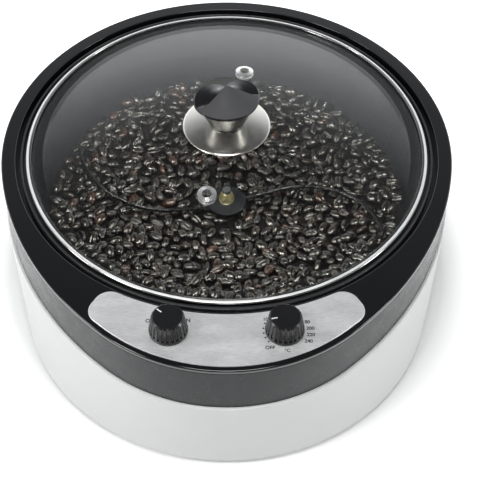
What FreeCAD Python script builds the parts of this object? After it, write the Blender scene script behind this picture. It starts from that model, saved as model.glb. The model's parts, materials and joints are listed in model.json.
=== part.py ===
# Home coffee bean roaster: an egg-shaped case around a round non-stick pan, a wire stirrer
# driven from below by a geared motor, two control knobs and a lift-off glass lid.
# Millimetres, +Z up.  Everything is modelled about the pan's upright axis, and moved as it is
# written so that the origin is on the floor at the centre of the footprint.
import FreeCAD, Part
import math
import os

Vector = FreeCAD.Vector
UP = Vector(0, 0, 1)

# ---- fits and gaps ----
RUNNING_GAP = 0.05        # radial clearance of a shaft in its bush
SEAT_GAP = 0.3            # gap between pieces that move apart
SLIP_GAP = 0.2            # gap between fixed pieces that slip together
HOLE_GAP = 0.4            # radial clearance of a hole around a fixed screw or tube

# ---- lid ----
LID_RADIUS = 142.0        # outside of the steel rim, a 28 cm lid
RIM_HEIGHT = 5.3
RIM_WIDTH = 4.0
RIM_SHEET = 0.8
GLASS_THICK = 4.0
GLASS_MARGIN = 11.0       # flat border of the glass outside the dome
DOME_RISE = 17.5          # dome height over the flat border
VENT_CIRCLE = 62.2        # distance of the steam vents from the lid's axis
VENT_ANGLES = (77.8, 257.8)
VENT_BORE = 3.4
VENT_FLANGE = 6.5
VENT_SHEET = 0.7

# ---- lid knob ----
SEAT_DISC_RADIUS = 30.4
SEAT_DISC_SHEET = 0.8
SEAT_DISC_FLAT = 13.5
SEAT_DISC_DISH = 0.9      # how far the disc's edge curls up
WASHER_RADIUS = 9.0
WASHER_THICK = 1.0
STEM_FOOT_RADIUS = 12.4
STEM_TOP_RADIUS = 19.6
STEM_HEIGHT = 24.6
STEM_SHEET = 1.2
STEM_BEAD = 0.6
CAP_EDGE = 1.5
CAP_HEIGHT = 12.0
CAP_CREASE_ANGLES = (92.0, 207.0, 366.0)
CAP_CREASE_RADII = (12.5, 22.5, 22.5)     # at the cap's edge
CAP_LOBE_RADII = (17.6, 22.7, 22.0)       # between the creases, at the cap's edge
CAP_WAIST_RISE = 3.6      # first level at which the crown is drawn in
CAP_WAIST_LOBES = 0.74
CAP_WAIST_CREASES = 0.50
CAP_NECK_RISE = 7.2       # second level
CAP_NECK_LOBES = 0.45
CAP_NECK_CREASES = 0.22
CAP_TIP_SHARE = 0.02
LID_SCREW_RADIUS = 2.4
LID_SCREW_HEAD = 5.0
LID_SCREW_HEAD_HEIGHT = 3.0
LID_SCREW_GRIP = 6.0      # length of thread in the cap

# ---- pan ----
PAN_SHEET = 1.5
LID_LAP = 5.5             # how far the lid's edge laps over the pan's flange
PAN_TAPER = 2.5           # how much narrower the pan is at its floor
PAN_DEPTH = 66.1          # from the flange down to the floor
PAN_CORNER = 22.0
PAN_RIM_GAP = 2.0         # between the lid and the upturned rim
PAN_RIM_WIDTH = 1.8
PAN_RIM_RISE = 4.2
GASKET_THICK = 0.5
GASKET_INSET = 0.6        # how far the gasket stays inside the pan's rim

# ---- deck ----
RECESS_GAP = 3.2          # between the pan's rim and the recess wall
DECK_MARGIN = 10.0        # deck width beside the recess
DECK_THICK = 2.5
DECK_ROUND = 1.2
RECESS_DEPTH = 7.6
RECESS_WALL = 2.5
PAN_WALL_GAP = 3.0        # air around the pan where it passes the deck
COLLAR_WALL = 2.0
COLLAR_DROP = 5.0
SKIRT_WALL = 2.0
SKIRT_DROP = 6.0

# ---- case ----
FRONT_TIGHTER = 38.3      # the front round is this much smaller than the rear one
SIDE_FLATTER = 71.0       # the flanks' round is this much larger than the rear one
BAND_HEIGHT = 35.5
BAND_WALL = 1.5
BAND_CHAMFER = 0.7
SHELL_PROUD = 2.0         # the lower shell stands out beyond the band
SHELL_WALL = 1.5
SHELL_LIP_ROUND = 1.4
SHELL_FLANGE = 20.0
SHELL_SEAT = 4.0          # width of the ledge that carries the band
FOOT_HEIGHT = 4.0
FOOT_RADIUS = 9.0
FOOT_STEM_RADIUS = 3.5
FOOT_INSET = 30.0         # distance of the feet's middles inside the case's outline
FOOT_REAR_ANGLE = 51.5    # to either side, about the middle of the rear round
FOOT_FRONT_ANGLE = 32.0   # to either side, about the middle of the front round
BASE_SHEET = 1.2
VENT_SLOT_WIDTH = 3.5
VENT_SLOT_LENGTH = 40.0
VENT_SLOT_PITCH = 9.0
VENT_SLOT_COUNT = 6
VENT_SLOT_REACH = 77.0    # distance of each row of slots from the middle

# ---- tie screws that pull deck, band and shell together ----
TIE_RADIUS = 2.0
TIE_ANGLES = (45.0, 135.0, 225.0, 315.0)
TIE_HEAD_RADIUS = 4.2
TIE_HEAD_HEIGHT = 2.2
TIE_BOSS_RADIUS = 4.0
TIE_BOSS_DROP = 12.0
TIE_GRIP = 9.0

# ---- control panel and its two knobs ----
PANEL_THICK = 0.8
PANEL_GAP = 1.5           # between the recess and the panel
PANEL_MARGIN = 3.6        # between the panel and the deck's edge
PANEL_DEPTH = 39.3        # front to back size of the panel on the middle line
PANEL_HALF_ANGLE = 31.0
PANEL_ROUND = 10.8
PANEL_ROUND_LIMIT = 0.45  # largest share of the panel's end that a corner may take
KNOB_SPACING = 72.0
KNOB_INSET = 12.5         # distance of the knobs' axes outside the panel's inner edge
KNOB_FOOT_RADIUS = 12.3
KNOB_TOP_RADIUS = 10.4
KNOB_HEIGHT = 14.0
KNOB_CHAMFER = 1.2
KNOB_SKIRT_WALL = 2.0
KNOB_SKIRT_DEPTH = 3.5
KNOB_FLUTES = 24
KNOB_FLUTE_RADIUS = 0.8
KNOB_BORE_DEPTH = 9.0
SHAFT_RADIUS = 3.0
SHAFT_FLAT = 1.5          # distance of the shaft's flat from its axis
BUSH_RADIUS = 4.7
BUSH_NUT_FLATS = 14.0
BUSH_NUT_THICK = 2.0
BUSH_RISE = 3.2           # bush length above the panel
CONTROL_DEPTH = 20.0      # front to back size of switch and thermostat
SWITCH_WIDTH = 25.0
SWITCH_HEIGHT = 18.0
THERMOSTAT_WIDTH = 30.0
THERMOSTAT_HEIGHT = 22.0
DIAPHRAGM_RADIUS = 8.0
DIAPHRAGM_HEIGHT = 4.0
TAB_WIDTH = 6.3
TAB_THICK = 0.8
TAB_LENGTH = 9.0

# ---- stirrer ----
DRIVE_SHAFT_RADIUS = 3.0
HUB_BOSS_RADIUS = 9.0
HUB_BOSS_HEIGHT = 6.7
HUB_PLATE_RADIUS = 14.5
HUB_PLATE_THICK = 1.5
STIRRER_WIRE_RADIUS = 1.5
STIRRER_SOCKET = 5.5      # distance of the wire's inner end from the shaft's axis
STIRRER_HEADING = 12.0    # direction in plan in which a wire leaves the hub
STIRRER_RUN_LENGTH = 34.0
STIRRER_BEND_SHARE = 0.463  # bend radius of the wires, as a share of the pan's floor radius
STIRRER_TURN = 96.0
STIRRER_TILT = 8.6        # each wire climbs towards the pan's wall
STIRRER_FLOOR_WALL = 1.0  # hub material left under a wire's socket
STIRRER_SIDE = 3.0        # sideways offset of the wire's inner end
HUB_WASHER_RADIUS = 5.6
HUB_WASHER_THICK = 1.0
CAP_NUT_FLATS = 10.0
CAP_NUT_HEIGHT = 7.0
CAP_NUT_SKIRT = 3.2
STUD_RISE = 3.6

# ---- sleeve that seals the shaft in the pan's floor ----
SLEEVE_RADIUS = 5.5
SLEEVE_FLANGE_RADIUS = 9.0
SLEEVE_FLANGE_THICK = 1.0
SLEEVE_RISE = 2.5
SLEEVE_DROP = 8.0
SLEEVE_NUT_FLATS = 16.0
SLEEVE_NUT_THICK = 3.5

# ---- heating element and what belongs to it ----
ELEMENT_CIRCLE_RADIUS = 80.0
ELEMENT_AIR = 3.0         # between the element and the shield
ELEMENT_RADIUS = 3.5
ELEMENT_SWEEP = 336.0
ELEMENT_LEG = 14.0
CLAMP_ANGLES = (30.0, 150.0, 270.0)
CLAMP_WIDTH = 12.0
CLAMP_EAR = 7.0
CLAMP_SHEET = 1.0
SHIELD_SHEET = 0.8
SHIELD_GAP = 2.3          # between the gear case and the shield
SHIELD_INSET = 12.0       # between the shield's edge and the pan's wall
SHIELD_SLOPE = 14.0       # run of the shield's sloping wall in plan
SHIELD_RISE = 9.0
SHIELD_HOLE = 10.0
NOTCH_WIDTH = 12.0        # gap in the shield's wall for the capillary
NOTCH_X = 42.0
POST_INSET = 10.0         # distance of the posts from the foot of the shield's wall
POST_ANGLES = (45.0, 135.0, 225.0, 315.0)
POST_RADIUS = 4.0
SMALL_SCREW_RADIUS = 1.5
SMALL_HEAD_RADIUS = 2.8
SMALL_HEAD_HEIGHT = 1.6
SMALL_SCREW_LENGTH = 8.0
BULB_RADIUS = 3.0
BULB_LENGTH = 60.0
BULB_INSET = 35.0         # distance of the bulb inside the element's circle
BULB_CLIP_WIDTH = 8.0
BULB_CLIP_SPACING = 34.0
CAPILLARY_RADIUS = 1.0
CAPILLARY_BEND = 4.0
CAPILLARY_LEAD = 8.0      # straight run out of the bulb
CAPILLARY_STEP = 7.0      # outward run in which it drops below the element
FUSE_RADIUS = 4.0
FUSE_LENGTH = 22.0
FUSE_INSET = 32.0         # distance of the fuse inside the element's circle

# ---- geared motor ----
MODULE = 0.8
PINION_TEETH = 12
WHEEL_TEETH = 48
PRESSURE_ANGLE = 20.0
TOOTH_THINNING = 0.12
IDLER_DIRECTION = 90.0    # from the output shaft to the idler
ROTOR_DIRECTION = 170.0   # from the idler to the rotor
GEAR_CASE_SHEET = 1.2
GEAR_CASE_HEIGHT = 16.0
GEAR_CASE_MARGIN = 3.0
GEAR_CASE_ROUND = 8.0
GEAR_FACE = 3.4
PIN_RADIUS = 1.5
PIN_BOSS_RADIUS = 3.4
PIN_BOSS_HEIGHT = 2.6
OUTPUT_BOSS_RADIUS = 5.5
ROTOR_RADIUS = 12.0
ROTOR_HEIGHT = 3.8
COIL_GAP = 1.0
COIL_WALL = 6.0
COIL_HEIGHT = 4.0
MOTOR_BUSH_RADIUS = 6.0
MOTOR_BUSH_FLANGE = 8.0
MOTOR_BUSH_RISE = 1.6

# ---- mains inlet side ----
CABLE_BORE = 3.6
CABLE_BUSH_RADIUS = 6.2
CABLE_BUSH_FLANGE = 8.5
CABLE_BUSH_LIP = 1.5
CABLE_BUSH_LENGTH = 12.0
CABLE_BUSH_HEIGHT = 24.0
TERMINAL_INSET = 43.0     # distance of the terminal block from the rear wall
TERMINAL_WIDTH = 30.0
TERMINAL_DEPTH = 18.0
TERMINAL_HEIGHT = 14.0
TERMINAL_WAYS = 3
EARTH_X = 34.0
EARTH_RADIUS = 2.0
EARTH_HEIGHT = 9.0

# ---- places that follow from the sizes above ----
PAN_TOP_RADIUS = LID_RADIUS - LID_LAP
PAN_FOOT_RADIUS = PAN_TOP_RADIUS - PAN_TAPER
RIM_OUTER = LID_RADIUS + PAN_RIM_GAP + PAN_RIM_WIDTH
RECESS_RADIUS = RIM_OUTER + RECESS_GAP
RECESS_FLOOR_INNER = PAN_TOP_RADIUS + PAN_SHEET + PAN_WALL_GAP
REAR_RADIUS = RECESS_RADIUS + DECK_MARGIN
FRONT_RADIUS = REAR_RADIUS - FRONT_TIGHTER
SIDE_RADIUS = REAR_RADIUS + SIDE_FLATTER
PANEL_INNER = RECESS_RADIUS + PANEL_GAP
DECK_FRONT = PANEL_INNER + PANEL_DEPTH + PANEL_MARGIN
FRONT_SHIFT = DECK_FRONT - FRONT_RADIUS
FRONT_REACH = DECK_FRONT + SHELL_PROUD
REAR_REACH = REAR_RADIUS + SHELL_PROUD
AXIS_Y = (FRONT_REACH - REAR_REACH - CABLE_BUSH_LIP) / 2
KNOB_REACH = PANEL_INNER + KNOB_INSET
TIE_CIRCLE = RECESS_FLOOR_INNER + COLLAR_WALL + TIE_BOSS_RADIUS
SHIELD_EDGE_RADIUS = PAN_FOOT_RADIUS - SHIELD_INSET
SHIELD_FLOOR_RADIUS = SHIELD_EDGE_RADIUS - SHIELD_SLOPE
POST_CIRCLE = SHIELD_FLOOR_RADIUS - POST_INSET
BULB_REACH = ELEMENT_CIRCLE_RADIUS - BULB_INSET
FUSE_REACH = ELEMENT_CIRCLE_RADIUS - FUSE_INSET
TERMINAL_REACH = REAR_REACH - TERMINAL_INSET

BASE_LOW = FOOT_HEIGHT + SHELL_WALL
BASE_TOP = BASE_LOW + BASE_SHEET
GEAR_CASE_FLOOR = BASE_TOP + GEAR_CASE_SHEET
GEAR_CASE_TOP = BASE_TOP + GEAR_CASE_HEIGHT
GEAR_CASE_ROOF = GEAR_CASE_TOP - GEAR_CASE_SHEET
SHIELD_LOW = GEAR_CASE_TOP + SHIELD_GAP
SHIELD_TOP = SHIELD_LOW + SHIELD_SHEET
PAN_UNDER = SHIELD_TOP + ELEMENT_AIR + 2 * ELEMENT_RADIUS
ELEMENT_Z = PAN_UNDER - ELEMENT_RADIUS
PAN_FLOOR = PAN_UNDER + PAN_SHEET
FLANGE_TOP = PAN_FLOOR + PAN_DEPTH
FLANGE_LOW = FLANGE_TOP - PAN_SHEET
RECESS_FLOOR = FLANGE_LOW - GASKET_THICK
CASE_HEIGHT = RECESS_FLOOR + RECESS_DEPTH
DECK_UNDER = CASE_HEIGHT - DECK_THICK
SHELL_TOP = DECK_UNDER - BAND_HEIGHT
TIE_BOSS_LOW = RECESS_FLOOR - RECESS_WALL - TIE_BOSS_DROP
PANEL_TOP = CASE_HEIGHT + PANEL_THICK
KNOB_LOW = PANEL_TOP + SEAT_GAP
SHAFT_TIP = KNOB_LOW + KNOB_BORE_DEPTH

LID_LOW = FLANGE_TOP + SEAT_GAP
LID_PLANE = LID_LOW + RIM_HEIGHT
GLASS_LOW = LID_LOW + RIM_SHEET
GLASS_TOP = GLASS_LOW + GLASS_THICK
APEX = GLASS_TOP + DOME_RISE
DOME_RADIUS = LID_RADIUS - RIM_SHEET - GLASS_MARGIN
DOME_SPHERE = (DOME_RADIUS ** 2 + DOME_RISE ** 2) / (2 * DOME_RISE)
DOME_FALL = WASHER_RADIUS ** 2 / (2 * DOME_SPHERE)    # at the edge of a flat washer
DISC_LOW = APEX + WASHER_THICK
STEM_LOW = DISC_LOW + SEAT_DISC_SHEET
CAP_LOW = STEM_LOW + STEM_HEIGHT

SLEEVE_TOP = PAN_FLOOR + SLEEVE_RISE
STIRRER_BEND_RADIUS = PAN_FOOT_RADIUS * STIRRER_BEND_SHARE
HUB_LOW = SLEEVE_TOP + SEAT_GAP
HUB_PLATE_LOW = HUB_LOW + HUB_BOSS_HEIGHT
HUB_TOP = HUB_PLATE_LOW + HUB_PLATE_THICK
NUT_LOW = HUB_TOP + HUB_WASHER_THICK
SHAFT_TOP = NUT_LOW + CAP_NUT_HEIGHT + STUD_RISE

WHEEL_PITCH = MODULE * WHEEL_TEETH / 2
PINION_PITCH = MODULE * PINION_TEETH / 2
GEAR_CENTRES = WHEEL_PITCH + PINION_PITCH
ROTOR_LOW = GEAR_CASE_FLOOR + SEAT_GAP
IDLER_WHEEL_LOW = ROTOR_LOW + ROTOR_HEIGHT + SEAT_GAP
IDLER_PINION_LOW = IDLER_WHEEL_LOW + GEAR_FACE
OUTPUT_WHEEL_LOW = IDLER_PINION_LOW + 2 * SEAT_GAP
OUTPUT_WHEEL_TOP = OUTPUT_WHEEL_LOW + GEAR_FACE


def polar(radius, degrees, height=0.0):
    angle = math.radians(degrees)
    return Vector(radius * math.cos(angle), radius * math.sin(angle), height)


IDLER_PLACE = polar(GEAR_CENTRES, IDLER_DIRECTION)
ROTOR_PLACE = IDLER_PLACE + polar(GEAR_CENTRES, ROTOR_DIRECTION)


# ---- shapes used by several pieces ----

def disc(radius, low, high, place=Vector(0, 0, 0)):
    """Upright cylinder between two heights."""
    return Part.makeCylinder(radius, high - low, Vector(place.x, place.y, low), UP)


def ring(outer, inner, low, high, place=Vector(0, 0, 0)):
    return disc(outer, low, high, place).cut(disc(inner, low, high, place))


def turned(profile):
    """Solid turned about the upright axis from (radius, height) corners."""
    corners = [Vector(radius, 0, height) for radius, height in profile]
    wire = Part.makePolygon(corners + corners[:1])
    return Part.Face(wire).revolve(Vector(0, 0, 0), UP, 360)


def hexagon(flats, low, high, place=Vector(0, 0, 0)):
    corners = [place + polar(flats / math.sqrt(3), 60 * step) for step in range(7)]
    face = Part.Face(Part.makePolygon(corners))
    face.translate(Vector(0, 0, low))
    return face.extrude(Vector(0, 0, high - low))


def block(width, depth, low, high, place=Vector(0, 0, 0)):
    """Upright box centred on a place in plan."""
    corner = Vector(place.x - width / 2, place.y - depth / 2, low)
    return Part.makeBox(width, depth, high - low, corner)


def rounded(shape, radius, picks):
    """Fillet the edges that picks chooses."""
    return shape.makeFillet(radius, [edge for edge in shape.Edges if picks(edge)])


def at_height(height):
    """Choose edges that lie flat at one height."""
    def picks(edge):
        return abs(edge.BoundBox.ZMin - height) < 1e-4 and abs(edge.BoundBox.ZMax - height) < 1e-4
    return picks


def upright(edge):
    """Choose edges that run straight up."""
    return edge.BoundBox.XLength < 1e-4 and edge.BoundBox.YLength < 1e-4


def joined(shapes):
    """Fuse pieces of one moulding or turning."""
    return shapes[0].fuse(shapes[1:]).removeSplitter()


def group(shapes):
    """Separate solids that share one node."""
    return Part.makeCompound(shapes)


def turned_copy(shape, degrees, centre=Vector(0, 0, 0)):
    copy = shape.copy()
    copy.rotate(centre, UP, degrees)
    return copy


def screw(place, tip, head_face, head_top, shank=SMALL_SCREW_RADIUS,
          head=SMALL_HEAD_RADIUS):
    """Round-headed screw; the head lies between head_face and head_top."""
    low, high = sorted((tip, head_face))
    head_low, head_high = sorted((head_face, head_top))
    return joined([disc(shank, low, high, place), disc(head, head_low, head_high, place)])


def bent_tube(points, bend, radius):
    """Round tube along straight runs joined by tangent arcs."""
    edges = []
    start = points[0]
    for before, corner, after in zip(points, points[1:], points[2:]):
        arrive = (corner - before).normalize()
        leave = (after - corner).normalize()
        half_turn = arrive.getAngle(leave) / 2
        setback = bend * math.tan(half_turn)
        arc_start = corner - arrive * setback
        arc_end = corner + leave * setback
        inward = (leave - arrive).normalize()
        middle = corner + inward * (bend / math.cos(half_turn) - bend)
        edges.append(Part.LineSegment(start, arc_start).toShape())
        edges.append(Part.Arc(arc_start, middle, arc_end).toShape())
        start = arc_end
    edges.append(Part.LineSegment(start, points[-1]).toShape())
    path = Part.Wire(edges)
    section = Part.Wire(Part.makeCircle(radius, points[0], points[1] - points[0]))
    return path.makePipeShell([section], True, False)


# ---- case outline ----

def case_outline(inset):
    """Egg outline in plan, the given distance inside the deck's edge: a round back, flatter
    flanks and a tighter round front, all tangent."""
    rear = REAR_RADIUS - inset
    front = FRONT_RADIUS - inset
    side = SIDE_RADIUS - inset
    to_rear = SIDE_RADIUS - REAR_RADIUS
    to_front = SIDE_RADIUS - FRONT_RADIUS
    centre_y = (to_front ** 2 - to_rear ** 2 - FRONT_SHIFT ** 2) / (2 * FRONT_SHIFT)
    centre_x = math.sqrt(to_rear ** 2 - centre_y ** 2)
    rear_way = Vector(centre_x, -centre_y, 0).normalize()
    front_way = Vector(centre_x, -centre_y - FRONT_SHIFT, 0).normalize()
    side_centre = Vector(-centre_x, centre_y, 0)
    front_centre = Vector(0, -FRONT_SHIFT, 0)

    right_rear = rear_way * rear
    right_side = side_centre + (rear_way + front_way).normalize() * side
    right_front = front_centre + front_way * front
    left_rear = Vector(-right_rear.x, right_rear.y, 0)
    left_side = Vector(-right_side.x, right_side.y, 0)
    left_front = Vector(-right_front.x, right_front.y, 0)
    arcs = [Part.Arc(left_rear, Vector(0, rear, 0), right_rear),
            Part.Arc(right_rear, right_side, right_front),
            Part.Arc(right_front, front_centre - Vector(0, front, 0), left_front),
            Part.Arc(left_front, left_side, left_rear)]
    return Part.Wire([arc.toShape() for arc in arcs])


def case_prism(inset, low, high):
    face = Part.Face(case_outline(inset))
    face.translate(Vector(0, 0, low))
    return face.extrude(Vector(0, 0, high - low))


def case_tube(inset, wall, low, high):
    return case_prism(inset, low, high).cut(case_prism(inset + wall, low, high))


def tie_places():
    return [polar(TIE_CIRCLE, angle) for angle in TIE_ANGLES]


def foot_places():
    rear = polar(REAR_RADIUS - FOOT_INSET, FOOT_REAR_ANGLE)
    front = polar(FRONT_RADIUS - FOOT_INSET, -FOOT_FRONT_ANGLE) - Vector(0, FRONT_SHIFT, 0)
    return [Vector(side * place.x, place.y, 0) for side in (-1, 1) for place in (rear, front)]


# ---- case pieces ----

def lower_shell():
    """White drawn shell with a rounded lip on top and flanges turned in at both ends."""
    outer = case_prism(-SHELL_PROUD, FOOT_HEIGHT, SHELL_TOP)
    outer = rounded(outer, SHELL_LIP_ROUND, at_height(SHELL_TOP))
    outer = rounded(outer, SHELL_LIP_ROUND, at_height(FOOT_HEIGHT))
    wall_inset = SHELL_WALL - SHELL_PROUD
    hollow = case_prism(wall_inset, BASE_LOW, SHELL_TOP - SHELL_WALL)
    top_mouth = case_prism(SHELL_SEAT, SHELL_TOP - 2 * SHELL_WALL, SHELL_TOP + SHELL_WALL)
    foot_mouth = case_prism(wall_inset + SHELL_FLANGE, 0, BASE_LOW + SHELL_WALL)
    shell = outer.cut([hollow, top_mouth, foot_mouth])
    tie_holes = [disc(TIE_RADIUS + HOLE_GAP, 0, BASE_TOP, place) for place in tie_places()]
    return shell.cut(tie_holes + [cable_hole()])


def cable_hole():
    start = Vector(0, REAR_REACH - 2 * SHELL_FLANGE, CABLE_BUSH_HEIGHT)
    return Part.makeCylinder(CABLE_BUSH_RADIUS, 3 * SHELL_FLANGE, start, Vector(0, 1, 0))


def base_plate():
    """Sheet floor with two rows of cooling slots, laid on the shell's lower flange."""
    plate = case_prism(SHELL_WALL - SHELL_PROUD + SLIP_GAP, BASE_LOW, BASE_TOP)
    cuts = [disc(TIE_RADIUS + HOLE_GAP, BASE_LOW, BASE_TOP, place) for place in tie_places()]
    cuts += [disc(FOOT_STEM_RADIUS, BASE_LOW, BASE_TOP, place) for place in foot_places()]
    for side in (-1, 1):
        for index in range(VENT_SLOT_COUNT):
            offset = (index - (VENT_SLOT_COUNT - 1) / 2) * VENT_SLOT_PITCH
            place = Vector(side * VENT_SLOT_REACH, offset, 0)
            cuts.append(slot(VENT_SLOT_LENGTH, VENT_SLOT_WIDTH, BASE_LOW, BASE_TOP, place))
    return plate.cut(cuts)


def slot(length, width, low, high, place):
    """Round-ended slot along X."""
    straight = block(length - width, width, low, high, place)
    reach = Vector((length - width) / 2, 0, 0)
    ends = [disc(width / 2, low, high, place + reach), disc(width / 2, low, high, place - reach)]
    return straight.fuse(ends)


def rubber_feet():
    """Push-in feet: a round pad below the base and a barbed stem through it."""
    feet = []
    for place in foot_places():
        pad = turned([(0, 0), (FOOT_RADIUS - 1, 0), (FOOT_RADIUS, BASE_LOW), (0, BASE_LOW)])
        stem = disc(FOOT_STEM_RADIUS, BASE_LOW, BASE_TOP)
        barb = turned([(0, BASE_TOP), (FOOT_STEM_RADIUS + 1, BASE_TOP),
                       (FOOT_STEM_RADIUS - 1, BASE_TOP + 3), (0, BASE_TOP + 3)])
        foot = joined([pad, stem, barb])
        foot.translate(place)
        feet.append(foot)
    return group(feet)


def upper_band():
    band = case_prism(0, SHELL_TOP, DECK_UNDER)
    edges = [edge for edge in band.Edges if not upright(edge)]
    band = band.makeChamfer(BAND_CHAMFER, edges)
    return band.cut(case_prism(BAND_WALL, SHELL_TOP, DECK_UNDER))


def top_deck():
    """Glossy moulding: the rim around the recess, the recess itself with a stiffening collar,
    a skirt that locates it in the band and four bosses for the tie screws."""
    plate = case_prism(0, DECK_UNDER, CASE_HEIGHT)
    plate = rounded(plate, DECK_ROUND, at_height(CASE_HEIGHT))
    plate = plate.cut(disc(RECESS_RADIUS, DECK_UNDER, CASE_HEIGHT))
    plate = rounded(plate, DECK_ROUND / 2, recess_mouth)
    floor_low = RECESS_FLOOR - RECESS_WALL
    wall_outer = RECESS_RADIUS + RECESS_WALL
    wall = ring(wall_outer, RECESS_RADIUS, floor_low, DECK_UNDER)
    floor = ring(wall_outer, RECESS_FLOOR_INNER, floor_low, RECESS_FLOOR)
    collar = ring(RECESS_FLOOR_INNER + COLLAR_WALL, RECESS_FLOOR_INNER,
                  floor_low - COLLAR_DROP, floor_low)
    skirt = case_tube(BAND_WALL + SLIP_GAP, SKIRT_WALL, DECK_UNDER - SKIRT_DROP, DECK_UNDER)
    bosses = [disc(TIE_BOSS_RADIUS, TIE_BOSS_LOW, floor_low, place) for place in tie_places()]
    deck = joined([plate, wall, floor, collar, skirt] + bosses)
    bores = [disc(TIE_RADIUS, TIE_BOSS_LOW, TIE_BOSS_LOW + TIE_GRIP, place)
             for place in tie_places()]
    return deck.cut(bores + control_holes(DECK_UNDER, CASE_HEIGHT))


def recess_mouth(edge):
    flat = at_height(CASE_HEIGHT)(edge)
    return flat and abs(edge.BoundBox.XMax - RECESS_RADIUS) < 0.01


def tie_screws():
    """Long screws from under the base up into the deck's bosses."""
    return group([screw(place, TIE_BOSS_LOW + TIE_GRIP, FOOT_HEIGHT,
                        FOOT_HEIGHT - TIE_HEAD_HEIGHT, TIE_RADIUS, TIE_HEAD_RADIUS)
                  for place in tie_places()])


# ---- controls ----

def knob_places():
    left = Vector(-KNOB_SPACING / 2, -KNOB_REACH, 0)
    right = Vector(KNOB_SPACING / 2, -KNOB_REACH, 0)
    return left, right


def control_holes(low, high):
    return [disc(BUSH_RADIUS + SLIP_GAP, low, high, place) for place in knob_places()]


def control_panel():
    """Kidney-shaped metal plate between the recess and the front of the deck."""
    whole = case_prism(PANEL_MARGIN, CASE_HEIGHT, PANEL_TOP)
    inner = disc(PANEL_INNER, CASE_HEIGHT, PANEL_TOP)
    far = 2 * (FRONT_REACH + REAR_REACH)
    wedge = Part.Face(Part.makePolygon([Vector(0, 0, 0), polar(far, 270 - PANEL_HALF_ANGLE),
                                        polar(far, 270 + PANEL_HALF_ANGLE), Vector(0, 0, 0)]))
    wedge.translate(Vector(0, 0, CASE_HEIGHT))
    sector = wedge.extrude(Vector(0, 0, PANEL_THICK))
    plate = whole.cut(inner).common(sector)
    corners = [edge for edge in plate.Edges if upright(edge) and panel_corner(edge)]
    corner_round = min(PANEL_ROUND, PANEL_ROUND_LIMIT * panel_end(plate))
    plate = plate.makeFillet(corner_round, corners)
    top_edges = [edge for edge in plate.Edges if at_height(PANEL_TOP)(edge)]
    plate = plate.makeChamfer(PANEL_THICK / 2, top_edges)
    return plate.cut(control_holes(CASE_HEIGHT, PANEL_TOP))


def panel_end(plate):
    """Length of the plate's straight ends."""
    ends = [edge for edge in plate.Edges
            if edge.Curve.TypeId == "Part::GeomLine" and at_height(PANEL_TOP)(edge)]
    return min(edge.Length for edge in ends)


def panel_corner(edge):
    """The four upright corners lie on the two straight ends of the plate."""
    point = edge.Vertexes[0].Point
    angle = abs(math.degrees(math.atan2(point.x, -point.y)))
    return abs(angle - PANEL_HALF_ANGLE) < 0.1


def control_knob(place):
    """Fluted knob with a chamfered flat top, hollow under its skirt."""
    top = KNOB_LOW + KNOB_HEIGHT
    body = turned([(0, KNOB_LOW), (KNOB_FOOT_RADIUS, KNOB_LOW),
                   (KNOB_FOOT_RADIUS, KNOB_LOW + KNOB_CHAMFER),
                   (KNOB_TOP_RADIUS, top - KNOB_CHAMFER),
                   (KNOB_TOP_RADIUS - KNOB_CHAMFER, top), (0, top)])
    lean = math.degrees(math.atan((KNOB_FOOT_RADIUS - KNOB_TOP_RADIUS) / KNOB_HEIGHT))
    flute = Part.makeCylinder(KNOB_FLUTE_RADIUS, 2 * KNOB_HEIGHT,
                              Vector(KNOB_FOOT_RADIUS + KNOB_FLUTE_RADIUS / 4, 0,
                                     KNOB_LOW + 2 * KNOB_CHAMFER), UP)
    flute.rotate(Vector(KNOB_FOOT_RADIUS, 0, KNOB_LOW), Vector(0, 1, 0), -lean)
    flutes = [turned_copy(flute, 360 * index / KNOB_FLUTES) for index in range(KNOB_FLUTES)]
    hollow = disc(KNOB_FOOT_RADIUS - KNOB_SKIRT_WALL, KNOB_LOW, KNOB_LOW + KNOB_SKIRT_DEPTH)
    bore = flatted_rod(SHAFT_RADIUS + RUNNING_GAP, KNOB_LOW, KNOB_LOW, SHAFT_TIP)
    knob = body.cut(flutes + [hollow, bore])
    knob.translate(place)
    return knob


def flatted_rod(radius, low, flat_low, high):
    """Round rod with a flat down one side of its upper end."""
    flat_depth = radius - SHAFT_RADIUS + SHAFT_FLAT
    flat = block(2 * radius, 2 * radius, flat_low, high, Vector(0, radius + flat_depth, 0))
    return disc(radius, low, high).cut(flat)


def control_shaft(place, depth):
    """Shaft with a flat, from inside the control up into its knob."""
    flat_low = PANEL_TOP + BUSH_RISE
    shaft = flatted_rod(SHAFT_RADIUS, DECK_UNDER - depth, flat_low, SHAFT_TIP)
    shaft.translate(place)
    return shaft


def control_body(place, width, height, shaft_depth):
    """Switch or thermostat housing hung under the deck by its threaded bush."""
    top = DECK_UNDER
    body = block(width, CONTROL_DEPTH, top - height, top, place)
    body = rounded(body, 1.5, upright)
    bush = disc(BUSH_RADIUS, top, PANEL_TOP + BUSH_RISE, place)
    tabs = [block(TAB_THICK, TAB_WIDTH, top - height - TAB_LENGTH, top - height,
                  place + Vector(side * width / 3, 0, 0)) for side in (-1, 1)]
    bore = disc(SHAFT_RADIUS + RUNNING_GAP, top - shaft_depth - SEAT_GAP,
                PANEL_TOP + BUSH_RISE, place)
    return joined([body, bush] + tabs).cut(bore)


def rotary_switch():
    return control_body(knob_places()[0], SWITCH_WIDTH, SWITCH_HEIGHT, SWITCH_HEIGHT / 2)


def thermostat():
    """Capillary thermostat with its round diaphragm chamber underneath."""
    place = knob_places()[1]
    body = control_body(place, THERMOSTAT_WIDTH, THERMOSTAT_HEIGHT, THERMOSTAT_HEIGHT / 2)
    low = DECK_UNDER - THERMOSTAT_HEIGHT
    return joined([body, disc(DIAPHRAGM_RADIUS, low - DIAPHRAGM_HEIGHT, low, place)])


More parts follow.
